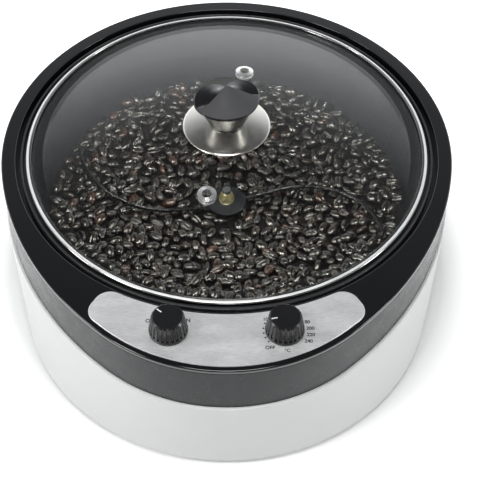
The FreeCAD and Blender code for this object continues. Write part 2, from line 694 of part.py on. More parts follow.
def bush_nuts():
    """Nuts that clamp both controls, hidden under the knobs."""
    nuts = []
    for place in knob_places():
        nut = hexagon(BUSH_NUT_FLATS, PANEL_TOP, PANEL_TOP + BUSH_NUT_THICK, place)
        nuts.append(nut.cut(disc(BUSH_RADIUS, PANEL_TOP, PANEL_TOP + BUSH_NUT_THICK, place)))
    return group(nuts)


# ---- pan and what passes through its floor ----

def pan_body(top_radius, foot_radius, floor, corner):
    """Tapered bowl with a large round between its floor and its wall."""
    bowl = turned([(0, floor), (foot_radius, floor), (top_radius, FLANGE_TOP), (0, FLANGE_TOP)])
    return rounded(bowl, corner, at_height(floor))


def roasting_pan():
    """Deep-drawn pan with a flat flange for the lid and an upturned rolled rim."""
    outside = pan_body(PAN_TOP_RADIUS + PAN_SHEET, PAN_FOOT_RADIUS + PAN_SHEET, PAN_UNDER,
                       PAN_CORNER + PAN_SHEET)
    inside = pan_body(PAN_TOP_RADIUS, PAN_FOOT_RADIUS, PAN_FLOOR, PAN_CORNER)
    flange = disc(RIM_OUTER, FLANGE_LOW, FLANGE_TOP)
    rim_top = FLANGE_TOP + PAN_RIM_RISE
    rim = ring(RIM_OUTER, RIM_OUTER - PAN_RIM_WIDTH, FLANGE_TOP, rim_top)
    rim = rounded(rim, PAN_RIM_WIDTH / 2.2, at_height(rim_top))
    pan = joined([outside, flange, rim]).cut(inside)
    return pan.cut(disc(SLEEVE_RADIUS, PAN_UNDER, PAN_FLOOR))


def pan_gasket():
    """Flat seal between the pan's flange and the deck's recess."""
    outer = RIM_OUTER - GASKET_INSET
    return ring(outer, RECESS_FLOOR_INNER + SLIP_GAP, RECESS_FLOOR, FLANGE_LOW)


def shaft_sleeve():
    """Flanged sleeve that lifts the shaft's passage above the pan's floor."""
    bore = DRIVE_SHAFT_RADIUS + RUNNING_GAP
    foot = PAN_UNDER - SLEEVE_DROP
    return turned([(bore, foot), (SLEEVE_RADIUS, foot), (SLEEVE_RADIUS, PAN_FLOOR),
                   (SLEEVE_FLANGE_RADIUS, PAN_FLOOR),
                   (SLEEVE_FLANGE_RADIUS, PAN_FLOOR + SLEEVE_FLANGE_THICK),
                   (SLEEVE_RADIUS, PAN_FLOOR + SLEEVE_FLANGE_THICK),
                   (SLEEVE_RADIUS, SLEEVE_TOP), (bore, SLEEVE_TOP)])


def sleeve_nut():
    low = PAN_UNDER - SLEEVE_NUT_THICK
    return hexagon(SLEEVE_NUT_FLATS, low, PAN_UNDER).cut(disc(SLEEVE_RADIUS, low, PAN_UNDER))


# ---- heating ----

def heating_element():
    """Sheathed ring under the pan's floor, with both ends turned down as cold legs."""
    ring_part = Part.makeTorus(ELEMENT_CIRCLE_RADIUS, ELEMENT_RADIUS, Vector(0, 0, ELEMENT_Z), UP,
                               0, 360, ELEMENT_SWEEP)
    ring_part = turned_copy(ring_part, 90 + (360 - ELEMENT_SWEEP) / 2)
    pieces = [ring_part]
    for place in element_legs():
        pieces.append(Part.makeSphere(ELEMENT_RADIUS, place + Vector(0, 0, ELEMENT_Z)))
        pieces.append(disc(ELEMENT_RADIUS, ELEMENT_Z - ELEMENT_LEG, ELEMENT_Z, place))
    return joined(pieces)


def element_legs():
    half_gap = (360 - ELEMENT_SWEEP) / 2
    return [polar(ELEMENT_CIRCLE_RADIUS, 90 - half_gap), polar(ELEMENT_CIRCLE_RADIUS, 90 + half_gap)]


def saddle(reach, radius, axis_z, width, ear):
    """Sheet strap bent under a round part and turned out flat against the pan's floor."""
    outer = radius + CLAMP_SHEET
    start = Vector(reach, -width / 2, axis_z)
    cradle = Part.makeCylinder(outer, width, start, Vector(0, 1, 0))
    legs = block(2 * outer, width, axis_z, PAN_UNDER, Vector(reach, 0, 0))
    flats = block(2 * (outer + ear), width, PAN_UNDER - CLAMP_SHEET, PAN_UNDER,
                  Vector(reach, 0, 0))
    strap = joined([cradle, legs, flats])
    bore = Part.makeCylinder(radius, width, start, Vector(0, 1, 0))
    gap = block(2 * radius, width, axis_z, PAN_UNDER, Vector(reach, 0, 0))
    above = block(4 * (outer + ear), 2 * width, PAN_UNDER, PAN_UNDER + 2 * outer,
                  Vector(reach, 0, 0))
    return strap.cut([bore, gap, above])


def element_clamps():
    strap = saddle(ELEMENT_CIRCLE_RADIUS, ELEMENT_RADIUS + SEAT_GAP, ELEMENT_Z, CLAMP_WIDTH,
                   CLAMP_EAR)
    return group([turned_copy(strap, angle) for angle in CLAMP_ANGLES])


def thermostat_bulb():
    """Sensing bulb clipped crosswise under the pan, in front of the shaft."""
    start = Vector(-BULB_LENGTH / 2, -BULB_REACH, PAN_UNDER - BULB_RADIUS)
    return Part.makeCylinder(BULB_RADIUS, BULB_LENGTH, start, Vector(1, 0, 0))


def bulb_clips():
    strap = saddle(BULB_REACH, BULB_RADIUS + RUNNING_GAP, PAN_UNDER - BULB_RADIUS,
                   BULB_CLIP_WIDTH, CLAMP_EAR)
    strap = turned_copy(strap, 270)
    clips = []
    for side in (-1, 1):
        clip = strap.copy()
        clip.translate(Vector(side * BULB_CLIP_SPACING / 2, 0, 0))
        clips.append(clip)
    return group(clips)


def capillary_points():
    """Route of the capillary: along the pan's floor, below the element, out through the
    shield's notch and up to the thermostat."""
    bulb_z = PAN_UNDER - BULB_RADIUS
    low_z = (SHIELD_TOP + ELEMENT_Z - ELEMENT_RADIUS) / 2
    thermostat_place = knob_places()[1]
    chamber_low = DECK_UNDER - THERMOSTAT_HEIGHT - DIAPHRAGM_HEIGHT
    lead_end = BULB_LENGTH / 2 + CAPILLARY_LEAD
    turn_up = SHIELD_TOP + 2 * SHIELD_RISE
    return [Vector(BULB_LENGTH / 2, -BULB_REACH, bulb_z),
            Vector(lead_end, -BULB_REACH, bulb_z),
            Vector(NOTCH_X, -BULB_REACH - CAPILLARY_STEP, low_z),
            Vector(NOTCH_X, -SHIELD_EDGE_RADIUS, low_z),
            Vector(thermostat_place.x, thermostat_place.y, turn_up),
            Vector(thermostat_place.x, thermostat_place.y, chamber_low)]


def capillary():
    return bent_tube(capillary_points(), CAPILLARY_BEND, CAPILLARY_RADIUS)


def thermal_fuse():
    """Round thermal cut-out lying against the pan's floor behind the shaft."""
    start = Vector(-FUSE_LENGTH / 2, FUSE_REACH, PAN_UNDER - FUSE_RADIUS)
    return Part.makeCylinder(FUSE_RADIUS, FUSE_LENGTH, start, Vector(1, 0, 0))


def fuse_clip():
    strap = saddle(FUSE_REACH, FUSE_RADIUS + RUNNING_GAP, PAN_UNDER - FUSE_RADIUS,
                   BULB_CLIP_WIDTH, CLAMP_EAR)
    return turned_copy(strap, 90)


def post_places():
    return [polar(POST_CIRCLE, angle) for angle in POST_ANGLES]


def heat_shield():
    """Shallow reflector dish under the element, notched for the capillary."""
    edge_z = SHIELD_LOW + SHIELD_RISE
    dish = turned([(SHIELD_HOLE, SHIELD_LOW), (SHIELD_FLOOR_RADIUS, SHIELD_LOW),
                   (SHIELD_EDGE_RADIUS, edge_z), (SHIELD_EDGE_RADIUS, edge_z + SHIELD_SHEET),
                   (SHIELD_FLOOR_RADIUS - SHIELD_SHEET, SHIELD_TOP), (SHIELD_HOLE, SHIELD_TOP)])
    cuts = [disc(SMALL_SCREW_RADIUS + HOLE_GAP, SHIELD_LOW, SHIELD_TOP, place)
            for place in post_places()]
    cuts += [disc(ELEMENT_RADIUS + 2, SHIELD_LOW, SHIELD_TOP, place)
             for place in element_legs()]
    notch = block(NOTCH_WIDTH, SHIELD_EDGE_RADIUS, SHIELD_TOP, edge_z + 2 * SHIELD_SHEET,
                  Vector(NOTCH_X, -SHIELD_EDGE_RADIUS, 0))
    return dish.cut(cuts + [notch])


def shield_posts():
    """Spacers that carry the shield on the base plate."""
    return group([ring(POST_RADIUS, SMALL_SCREW_RADIUS, BASE_TOP, SHIELD_LOW, place)
                  for place in post_places()])


def shield_screws():
    tip = SHIELD_TOP - SMALL_SCREW_LENGTH
    return group([screw(place, tip, SHIELD_TOP, SHIELD_TOP + SMALL_HEAD_HEIGHT)
                  for place in post_places()])


# ---- geared motor ----

def tooth_half_angle(radius, pitch_radius):
    """Half the angle that an involute tooth fills at a radius."""
    pressure = math.radians(PRESSURE_ANGLE)
    base = pitch_radius * math.cos(pressure)
    at_pitch = (math.pi * MODULE / 2 - TOOTH_THINNING) / (2 * pitch_radius)
    roll = math.acos(min(1.0, base / radius))
    return at_pitch + (math.tan(pressure) - pressure) - (math.tan(roll) - roll)


def toothed(teeth, low, high, first_tooth):
    """Spur gear with involute flanks, each drawn as two straight facets."""
    pitch_radius = MODULE * teeth / 2
    root = pitch_radius - 1.2 * MODULE
    tip = pitch_radius + 0.95 * MODULE
    flank = [(radius, tooth_half_angle(radius, pitch_radius))
             for radius in (root, pitch_radius, tip)]
    corners = []
    for index in range(teeth):
        middle = math.radians(first_tooth) + 2 * math.pi * index / teeth
        rising = [(radius, middle - half) for radius, half in flank]
        falling = [(radius, middle + half) for radius, half in reversed(flank)]
        for radius, angle in rising + falling:
            corners.append(Vector(radius * math.cos(angle), radius * math.sin(angle), low))
    face = Part.Face(Part.makePolygon(corners + corners[:1]))
    return face.extrude(Vector(0, 0, high - low))


def output_wheel():
    """Large wheel on the stirrer's shaft; one tooth points at the idler."""
    teeth = toothed(WHEEL_TEETH, OUTPUT_WHEEL_LOW, OUTPUT_WHEEL_TOP, IDLER_DIRECTION)
    hub_top = GEAR_CASE_ROOF - SEAT_GAP
    hub = disc(OUTPUT_BOSS_RADIUS, OUTPUT_WHEEL_TOP, hub_top)
    bore = disc(DRIVE_SHAFT_RADIUS, OUTPUT_WHEEL_LOW, hub_top)
    return joined([teeth, hub]).cut(bore)


def idler_gear():
    """Compound gear: a wheel driven by the rotor and a pinion that drives the output."""
    wheel = toothed(WHEEL_TEETH, IDLER_WHEEL_LOW, IDLER_PINION_LOW, ROTOR_DIRECTION)
    gap_towards_output = IDLER_DIRECTION + 180 + 180 / PINION_TEETH
    pinion = toothed(PINION_TEETH, IDLER_PINION_LOW, GEAR_CASE_ROOF - SEAT_GAP,
                     gap_towards_output)
    hub_low = GEAR_CASE_FLOOR + PIN_BOSS_HEIGHT + SEAT_GAP
    hub = disc(PIN_BOSS_RADIUS, hub_low, IDLER_WHEEL_LOW)
    gear = joined([wheel, pinion, hub])
    gear = gear.cut(disc(PIN_RADIUS + RUNNING_GAP, hub_low, GEAR_CASE_ROOF))
    gear.translate(IDLER_PLACE)
    return gear


def rotor_magnet():
    high = ROTOR_LOW + ROTOR_HEIGHT
    return ring(ROTOR_RADIUS, PIN_RADIUS + RUNNING_GAP, ROTOR_LOW, high, ROTOR_PLACE)


def rotor_pinion():
    """Pinion moulded on top of the magnet, in mesh with the idler's wheel."""
    low = ROTOR_LOW + ROTOR_HEIGHT
    gap_towards_idler = ROTOR_DIRECTION + 180 + 180 / PINION_TEETH
    pinion = toothed(PINION_TEETH, low, IDLER_PINION_LOW + SEAT_GAP, gap_towards_idler)
    pinion = pinion.cut(disc(PIN_RADIUS + RUNNING_GAP, low, IDLER_PINION_LOW + SEAT_GAP))
    pinion.translate(ROTOR_PLACE)
    return pinion


def gear_case_outline(inset):
    """Rounded rectangle around the wheels and the coil."""
    wheel_reach = WHEEL_PITCH + MODULE + GEAR_CASE_MARGIN
    coil_reach = ROTOR_RADIUS + COIL_GAP + COIL_WALL + GEAR_CASE_MARGIN
    left = min(-wheel_reach, ROTOR_PLACE.x - coil_reach) + inset
    right = wheel_reach - inset
    front = -wheel_reach + inset
    back = max(IDLER_PLACE.y + wheel_reach, ROTOR_PLACE.y + coil_reach) - inset
    return left, right, front, back


def gear_case_prism(inset, low, high):
    left, right, front, back = gear_case_outline(inset)
    box = Part.makeBox(right - left, back - front, high - low, Vector(left, front, low))
    return rounded(box, GEAR_CASE_ROUND - inset, upright)


def gear_case():
    """Open tray that holds the coil and carries the pins of the train."""
    tray = gear_case_prism(0, BASE_TOP, GEAR_CASE_ROOF)
    tray = tray.cut(gear_case_prism(GEAR_CASE_SHEET, GEAR_CASE_FLOOR, GEAR_CASE_ROOF))
    boss_top = GEAR_CASE_FLOOR + PIN_BOSS_HEIGHT
    bosses = [disc(OUTPUT_BOSS_RADIUS, GEAR_CASE_FLOOR, boss_top),
              disc(PIN_BOSS_RADIUS, GEAR_CASE_FLOOR, boss_top, IDLER_PLACE)]
    corners = [disc(PIN_BOSS_RADIUS, GEAR_CASE_FLOOR, GEAR_CASE_ROOF, place)
               for place in cover_screw_places()]
    bores = [disc(DRIVE_SHAFT_RADIUS + RUNNING_GAP, GEAR_CASE_FLOOR, boss_top),
             disc(PIN_RADIUS, BASE_TOP, boss_top, IDLER_PLACE),
             disc(PIN_RADIUS, BASE_TOP, GEAR_CASE_FLOOR, ROTOR_PLACE)]
    bores += [disc(SMALL_SCREW_RADIUS, GEAR_CASE_FLOOR, GEAR_CASE_ROOF, place)
              for place in cover_screw_places()]
    return joined([tray] + bosses + corners).cut(bores)


def cover_screw_places():
    left, right, front, back = gear_case_outline(GEAR_CASE_SHEET + PIN_BOSS_RADIUS / 1.2)
    return [Vector(x, y, 0) for x in (left, right) for y in (front, back)]


def gear_case_cover():
    plate = gear_case_prism(0, GEAR_CASE_ROOF, GEAR_CASE_TOP)
    cuts = [disc(SMALL_SCREW_RADIUS + HOLE_GAP, GEAR_CASE_ROOF, GEAR_CASE_TOP, place)
            for place in cover_screw_places()]
    cuts.append(disc(MOTOR_BUSH_RADIUS, GEAR_CASE_ROOF, GEAR_CASE_TOP))
    cuts.append(disc(PIN_RADIUS, GEAR_CASE_ROOF, GEAR_CASE_TOP, IDLER_PLACE))
    cuts.append(disc(PIN_RADIUS, GEAR_CASE_ROOF, GEAR_CASE_TOP, ROTOR_PLACE))
    return plate.cut(cuts)


def cover_screws():
    tip = GEAR_CASE_TOP - SMALL_SCREW_LENGTH
    head_top = GEAR_CASE_TOP + SMALL_HEAD_HEIGHT
    return group([screw(place, tip, GEAR_CASE_TOP, head_top)
                  for place in cover_screw_places()])


def motor_bush():
    """Bronze bearing of the output shaft in the gear case's cover."""
    bore = DRIVE_SHAFT_RADIUS + RUNNING_GAP
    high = GEAR_CASE_TOP + MOTOR_BUSH_RISE
    return turned([(bore, GEAR_CASE_ROOF), (MOTOR_BUSH_RADIUS, GEAR_CASE_ROOF),
                   (MOTOR_BUSH_RADIUS, GEAR_CASE_TOP), (MOTOR_BUSH_FLANGE, GEAR_CASE_TOP),
                   (MOTOR_BUSH_FLANGE, high), (bore, high)])


def train_pin(place):
    return disc(PIN_RADIUS, BASE_TOP, GEAR_CASE_TOP, place)


def stator_coil():
    """Winding around the rotor, on the floor of the gear case."""
    inner = ROTOR_RADIUS + COIL_GAP
    coil = ring(inner + COIL_WALL, inner, GEAR_CASE_FLOOR, GEAR_CASE_FLOOR + COIL_HEIGHT,
                ROTOR_PLACE)
    return coil.cut(disc(PIN_BOSS_RADIUS + SLIP_GAP, GEAR_CASE_FLOOR,
                         GEAR_CASE_FLOOR + COIL_HEIGHT, IDLER_PLACE))


# ---- stirrer ----

def drive_shaft():
    return disc(DRIVE_SHAFT_RADIUS, GEAR_CASE_FLOOR + SEAT_GAP, SHAFT_TOP)


def stirrer_wire():
    """Wire that leaves the hub straight, then sweeps round towards the pan's wall."""
    heading = STIRRER_HEADING
    socket_z = HUB_LOW + STIRRER_FLOOR_WALL + STIRRER_WIRE_RADIUS
    start = Vector(STIRRER_SOCKET, STIRRER_SIDE, socket_z)
    run_end = start + polar(STIRRER_RUN_LENGTH, heading)
    centre = run_end + polar(STIRRER_BEND_RADIUS, heading - 90)
    middle = centre + polar(STIRRER_BEND_RADIUS, heading + 90 - STIRRER_TURN / 2)
    end = centre + polar(STIRRER_BEND_RADIUS, heading + 90 - STIRRER_TURN)
    path = Part.Wire([Part.LineSegment(start, run_end).toShape(),
                      Part.Arc(run_end, middle, end).toShape()])
    section = Part.Wire(Part.makeCircle(STIRRER_WIRE_RADIUS, start, run_end - start))
    wire = path.makePipeShell([section], True, False)
    wire.rotate(Vector(0, 0, socket_z), Vector(0, 1, 0), -STIRRER_TILT)
    return wire


def stirrer_wires():
    wire = stirrer_wire()
    return group([wire, turned_copy(wire, 180)])


def stirrer_hub():
    """Boss with sockets for the two wires under a flat cover plate."""
    boss = disc(HUB_BOSS_RADIUS, HUB_LOW, HUB_PLATE_LOW)
    plate = disc(HUB_PLATE_RADIUS, HUB_PLATE_LOW, HUB_TOP)
    plate = rounded(plate, HUB_PLATE_THICK / 3, at_height(HUB_TOP))
    bore = disc(DRIVE_SHAFT_RADIUS, HUB_LOW, HUB_TOP)
    wire = stirrer_wire()
    return joined([boss, plate]).cut([bore, wire, turned_copy(wire, 180)])


def hub_washer():
    return ring(HUB_WASHER_RADIUS, DRIVE_SHAFT_RADIUS, HUB_TOP, NUT_LOW)


def cap_nut():
    """Brass nut, hexagonal at its foot and coned towards the stud."""
    high = NUT_LOW + CAP_NUT_HEIGHT
    corner = CAP_NUT_FLATS / math.sqrt(3)
    cone = turned([(0, NUT_LOW), (corner, NUT_LOW), (corner, NUT_LOW + CAP_NUT_SKIRT),
                   (DRIVE_SHAFT_RADIUS + 0.6, high), (0, high)])
    nut = hexagon(CAP_NUT_FLATS, NUT_LOW, high).common(cone)
    return nut.cut(disc(DRIVE_SHAFT_RADIUS, NUT_LOW, high))


# ---- lid ----

def dome_solid(sink):
    """Cap of a sphere over the flat border, lowered by the glass thickness for its inside."""
    centre = Vector(0, 0, GLASS_TOP + DOME_RISE - DOME_SPHERE)
    ball = Part.makeSphere(DOME_SPHERE - sink, centre)
    keep = disc(DOME_RADIUS, GLASS_TOP - sink, APEX + 1)
    return ball.common(keep)


def vented(shape, radius):
    """Cut the two vent holes square to the dome."""
    return shape.cut([dome_part(disc(radius, APEX - 3 * GLASS_THICK, APEX + GLASS_THICK), angle)
                      for angle in VENT_ANGLES])


def dome_part(shape, angle):
    """Lean a part modelled at the apex out along the dome to the vent circle."""
    centre = Vector(0, 0, APEX - DOME_SPHERE)
    lean = math.degrees(math.asin(VENT_CIRCLE / DOME_SPHERE))
    part = shape.copy()
    part.rotate(centre, Vector(0, 1, 0), lean)
    part.rotate(Vector(0, 0, 0), UP, angle)
    return part


def lid_glass():
    """Tempered glass: a flat border and a shallow dome, pierced for the knob and the vents."""
    border = disc(LID_RADIUS - RIM_SHEET, GLASS_LOW, GLASS_TOP)
    glass = joined([border, dome_solid(0)]).cut(dome_solid(GLASS_THICK))
    glass = glass.cut(disc(LID_SCREW_RADIUS + HOLE_GAP, GLASS_LOW, APEX + 1))
    return vented(glass, VENT_BORE + VENT_SHEET)


def lid_rim():
    """Steel band rolled around the edge of the glass, open inwards."""
    outer = LID_RADIUS
    lip = LID_RADIUS - RIM_WIDTH
    wall = LID_RADIUS - RIM_SHEET
    rim = turned([(lip, LID_LOW), (outer, LID_LOW), (outer, LID_PLANE), (lip, LID_PLANE),
                  (lip, GLASS_TOP), (wall, GLASS_TOP), (wall, GLASS_LOW), (lip, GLASS_LOW)])
    return rounded(rim, RIM_SHEET * 0.9, rim_corner)


def rim_corner(edge):
    box = edge.BoundBox
    outside = abs(box.XMax - LID_RADIUS) < 0.01
    return outside and abs(box.ZMax - box.ZMin) < 1e-4


def vent_eyelets():
    """Rolled steel eyelets that line the vent holes, flanged above and below the glass."""
    tube = VENT_BORE + VENT_SHEET
    below = APEX - GLASS_THICK - DOME_FALL
    eyelet = turned([(VENT_BORE, below - VENT_SHEET), (VENT_FLANGE, below - VENT_SHEET),
                     (VENT_FLANGE, below), (tube, below), (tube, APEX), (VENT_FLANGE, APEX),
                     (VENT_FLANGE, APEX + VENT_SHEET), (VENT_BORE, APEX + 2 * VENT_SHEET)])
    return group([dome_part(eyelet, angle) for angle in VENT_ANGLES])


def screw_hole(low, high):
    return disc(LID_SCREW_RADIUS + HOLE_GAP, low, high)


def knob_washer():
    return disc(WASHER_RADIUS, APEX, DISC_LOW).cut(screw_hole(APEX, DISC_LOW))


def knob_seat():
    """Polished disc under the knob, its edge curled up a little."""
    rise = SEAT_DISC_DISH
    plate = turned([(0, DISC_LOW), (SEAT_DISC_FLAT, DISC_LOW),
                    (SEAT_DISC_RADIUS, DISC_LOW + rise),
                    (SEAT_DISC_RADIUS, STEM_LOW + rise), (SEAT_DISC_FLAT, STEM_LOW),
                    (0, STEM_LOW)])
    return plate.cut(screw_hole(DISC_LOW, STEM_LOW))


def knob_stem():
    """Hollow steel cone that widens towards the cap, with a bead around its foot."""
    foot = STEM_FOOT_RADIUS
    bead_top = STEM_LOW + 2 * STEM_BEAD
    outside = turned([(0, STEM_LOW), (foot + STEM_BEAD, STEM_LOW),
                      (foot + STEM_BEAD, bead_top), (foot, bead_top + STEM_BEAD),
                      (STEM_TOP_RADIUS, CAP_LOW), (0, CAP_LOW)])
    inside = turned([(0, STEM_LOW + STEM_SHEET), (foot - STEM_SHEET, STEM_LOW + STEM_SHEET),
                     (STEM_TOP_RADIUS - STEM_SHEET, CAP_LOW - STEM_SHEET),
                     (0, CAP_LOW - STEM_SHEET)])
    return outside.cut([inside, screw_hole(STEM_LOW, CAP_LOW)])


def knob_cap():
    """Moulded cap: a short edge under a peaked crown of three unequal lobes, with a crease
    between each pair that falls steeply from the peak and runs out level to the edge."""
    crown_low = CAP_LOW + CAP_EDGE
    edge_face = Part.Face(cap_outline(CAP_LOW, 1, 1))
    edge = edge_face.extrude(Vector(0, 0, CAP_EDGE))
    sections = [cap_outline(crown_low, 1, 1),
                cap_outline(CAP_LOW + CAP_WAIST_RISE, CAP_WAIST_LOBES, CAP_WAIST_CREASES),
                cap_outline(CAP_LOW + CAP_NECK_RISE, CAP_NECK_LOBES, CAP_NECK_CREASES),
                cap_outline(CAP_LOW + CAP_HEIGHT, CAP_TIP_SHARE, CAP_TIP_SHARE)]
    crown = Part.makeLoft(sections, True, False)
    bore = disc(LID_SCREW_RADIUS, CAP_LOW, CAP_LOW + LID_SCREW_GRIP)
    return joined([edge, crown]).cut(bore)


def cap_outline(height, lobe_share, crease_share):
    """Three arcs in plan that meet at the creases, drawn in towards the axis by the two
    shares."""
    arcs = []
    for index in range(3):
        start = CAP_CREASE_ANGLES[index]
        end = CAP_CREASE_ANGLES[(index + 1) % 3]
        middle = start + ((end - start) % 360) / 2
        here = polar(CAP_CREASE_RADII[index] * crease_share, start, height)
        crest = polar(CAP_LOBE_RADII[index] * lobe_share, middle, height)
        there = polar(CAP_CREASE_RADII[(index + 1) % 3] * crease_share, end, height)
        arcs.append(Part.Arc(here, crest, there).toShape())
    return Part.Wire(arcs)


def knob_screw():
    """Screw from under the glass up into the cap, through the stem."""
    face = APEX - GLASS_THICK - DOME_FALL - WASHER_THICK
    return screw(Vector(0, 0, 0), CAP_LOW + LID_SCREW_GRIP, face,
                 face - LID_SCREW_HEAD_HEIGHT, LID_SCREW_RADIUS, LID_SCREW_HEAD)


def inner_washer():
    high = APEX - GLASS_THICK - DOME_FALL
    low = high - WASHER_THICK
    return disc(WASHER_RADIUS, low, high).cut(screw_hole(low, high))


# ---- mains side ----

def cable_bush():
    """Moulded bush in the shell's rear wall, with a lip outside and a ring inside."""
    outer_face = REAR_REACH + CABLE_BUSH_LIP
    inner_face = REAR_REACH - SHELL_WALL - SEAT_GAP
    tail = outer_face - CABLE_BUSH_LENGTH
    profile = [(CABLE_BORE, outer_face), (CABLE_BUSH_FLANGE, outer_face),
               (CABLE_BUSH_FLANGE, REAR_REACH), (CABLE_BUSH_RADIUS, REAR_REACH),
               (CABLE_BUSH_RADIUS, inner_face), (CABLE_BUSH_FLANGE - 1, inner_face),
               (CABLE_BUSH_RADIUS, tail), (CABLE_BORE, tail)]
    bush = turned(profile)
    bush.rotate(Vector(0, 0, 0), Vector(1, 0, 0), -90)
    bush.translate(Vector(0, 0, CABLE_BUSH_HEIGHT))
    return bush


def terminal_block():
    """Three-way connector block on the base plate behind the motor."""
    place = Vector(0, TERMINAL_REACH, 0)
    body = block(TERMINAL_WIDTH, TERMINAL_DEPTH, BASE_TOP, BASE_TOP + TERMINAL_HEIGHT, place)
    body = rounded(body, 2, upright)
    pitch = TERMINAL_WIDTH / TERMINAL_WAYS
    cuts = []
    for way in range(TERMINAL_WAYS):
        offset = (way - (TERMINAL_WAYS - 1) / 2) * pitch
        start = Vector(offset, TERMINAL_REACH - TERMINAL_DEPTH, BASE_TOP + TERMINAL_HEIGHT / 2)
        cuts.append(Part.makeCylinder(2, 2 * TERMINAL_DEPTH, start, Vector(0, 1, 0)))
    return body.cut(cuts)


def earth_stud():
    place = Vector(EARTH_X, TERMINAL_REACH, 0)
    stud = disc(EARTH_RADIUS, BASE_TOP, BASE_TOP + EARTH_HEIGHT, place)
    nut = hexagon(7, BASE_TOP, BASE_TOP + 3, place)
    return joined([nut, stud])


# ---- all nodes ----

def nodes():
    switch_place, thermostat_place = knob_places()
    return {
        "lower_shell": lower_shell(),
        "base_plate": base_plate(),
        "rubber_feet": rubber_feet(),
        "upper_band": upper_band(),
        "top_deck": top_deck(),
        "tie_screws": tie_screws(),
        "control_panel": control_panel(),
        "bush_nuts": bush_nuts(),
        "rotary_switch": rotary_switch(),
        "power_shaft": control_shaft(switch_place, SWITCH_HEIGHT / 2),
        "power_knob": control_knob(switch_place),
        "thermostat": thermostat(),
        "thermostat_shaft": control_shaft(thermostat_place, THERMOSTAT_HEIGHT / 2),
        "thermostat_knob": control_knob(thermostat_place),
        "thermostat_bulb": thermostat_bulb(),
        "bulb_clips": bulb_clips(),
        "capillary": capillary(),
        "roasting_pan": roasting_pan(),
        "pan_gasket": pan_gasket(),
        "shaft_sleeve": shaft_sleeve(),
        "sleeve_nut": sleeve_nut(),
        "heating_element": heating_element(),
        "element_clamps": element_clamps(),
        "thermal_fuse": thermal_fuse(),
        "fuse_clip": fuse_clip(),
        "heat_shield": heat_shield(),
        "shield_posts": shield_posts(),
        "shield_screws": shield_screws(),
        "gear_case": gear_case(),
        "gear_case_cover": gear_case_cover(),
        "cover_screws": cover_screws(),
        "motor_bush": motor_bush(),
        "stator_coil": stator_coil(),
        "rotor_pin": train_pin(ROTOR_PLACE),
        "rotor_magnet": rotor_magnet(),
        "rotor_pinion": rotor_pinion(),
        "idler_pin": train_pin(IDLER_PLACE),
        "idler_gear": idler_gear(),
        "output_wheel": output_wheel(),
        "drive_shaft": drive_shaft(),
        "stirrer_hub": stirrer_hub(),
        "stirrer_wires": stirrer_wires(),
        "hub_washer": hub_washer(),
        "cap_nut": cap_nut(),
        "lid_glass": lid_glass(),
        "lid_rim": lid_rim(),
        "vent_eyelets": vent_eyelets(),
        "knob_washer": knob_washer(),
        "knob_seat": knob_seat(),
        "knob_stem": knob_stem(),
        "knob_cap": knob_cap(),
        "inner_washer": inner_washer(),
        "knob_screw": knob_screw(),
        "cable_bush": cable_bush(),
        "terminal_block": terminal_block(),
        "earth_stud": earth_stud(),
    }


def write_parts():
    os.makedirs("parts", exist_ok=True)
    for name, shape in nodes().items():
        shape.translate(Vector(0, AXIS_Y, 0))
        shape.exportStep("parts/" + name + ".step")


write_parts()
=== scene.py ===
# Home coffee bean roaster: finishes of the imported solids, printing and pointer lines of the
# controls, outer case, the lid's rim and knob, and the beans in the pan.
# Metres, +Z up, the part's own frame.
import json
import math
import bmesh
import bpy
import numpy as np
from mathutils import Matrix, Vector


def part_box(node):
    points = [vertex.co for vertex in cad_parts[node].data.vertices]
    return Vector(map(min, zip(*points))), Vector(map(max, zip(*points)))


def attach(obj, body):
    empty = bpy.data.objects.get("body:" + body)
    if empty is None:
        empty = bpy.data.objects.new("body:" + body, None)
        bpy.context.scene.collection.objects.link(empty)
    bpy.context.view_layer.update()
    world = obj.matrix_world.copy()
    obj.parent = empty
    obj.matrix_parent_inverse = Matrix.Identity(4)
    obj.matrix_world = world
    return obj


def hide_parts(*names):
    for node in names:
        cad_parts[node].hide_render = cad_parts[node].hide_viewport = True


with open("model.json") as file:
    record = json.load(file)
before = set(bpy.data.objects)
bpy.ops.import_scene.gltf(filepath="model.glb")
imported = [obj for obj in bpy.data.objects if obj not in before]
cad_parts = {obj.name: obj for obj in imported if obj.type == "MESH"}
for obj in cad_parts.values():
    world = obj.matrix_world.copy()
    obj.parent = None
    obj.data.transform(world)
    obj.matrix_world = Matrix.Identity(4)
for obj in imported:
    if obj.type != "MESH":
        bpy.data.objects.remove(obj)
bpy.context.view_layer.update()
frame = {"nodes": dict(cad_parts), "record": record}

MM = 0.001


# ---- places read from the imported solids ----

def middle(node):
    low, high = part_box(node)
    return (low + high) / 2


AXIS_Y = middle("cap_nut").y
PANEL_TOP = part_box("control_panel")[1].z
POWER = middle("power_shaft")
THERMO = middle("thermostat_shaft")
KNOB_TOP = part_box("power_knob")[1].z
HUB_LIFT = 2.8 * MM           # the stirrer's hub turns this far above the pan's floor
PAN_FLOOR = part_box("stirrer_hub")[0].z - HUB_LIFT
DECK_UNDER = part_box("upper_band")[1].z
SHELL_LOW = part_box("lower_shell")[0].z
SEAT_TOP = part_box("knob_stem")[0].z
CAP_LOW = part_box("knob_cap")[0].z
SEAT_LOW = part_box("knob_seat")[0].z
SEAT_RADIUS = (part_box("knob_seat")[1].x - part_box("knob_seat")[0].x) / 2 / MM


# ---- small helpers for node trees ----

def remapped(tree, source, start, end, low, high):
    """The source's value taken from start..end to low..high, and held beyond."""
    node = tree.nodes.new("ShaderNodeMapRange")
    node.inputs["From Min"].default_value = start
    node.inputs["From Max"].default_value = end
    node.inputs["To Min"].default_value = low
    node.inputs["To Max"].default_value = high
    tree.links.new(source, node.inputs["Value"])
    return node.outputs["Result"]


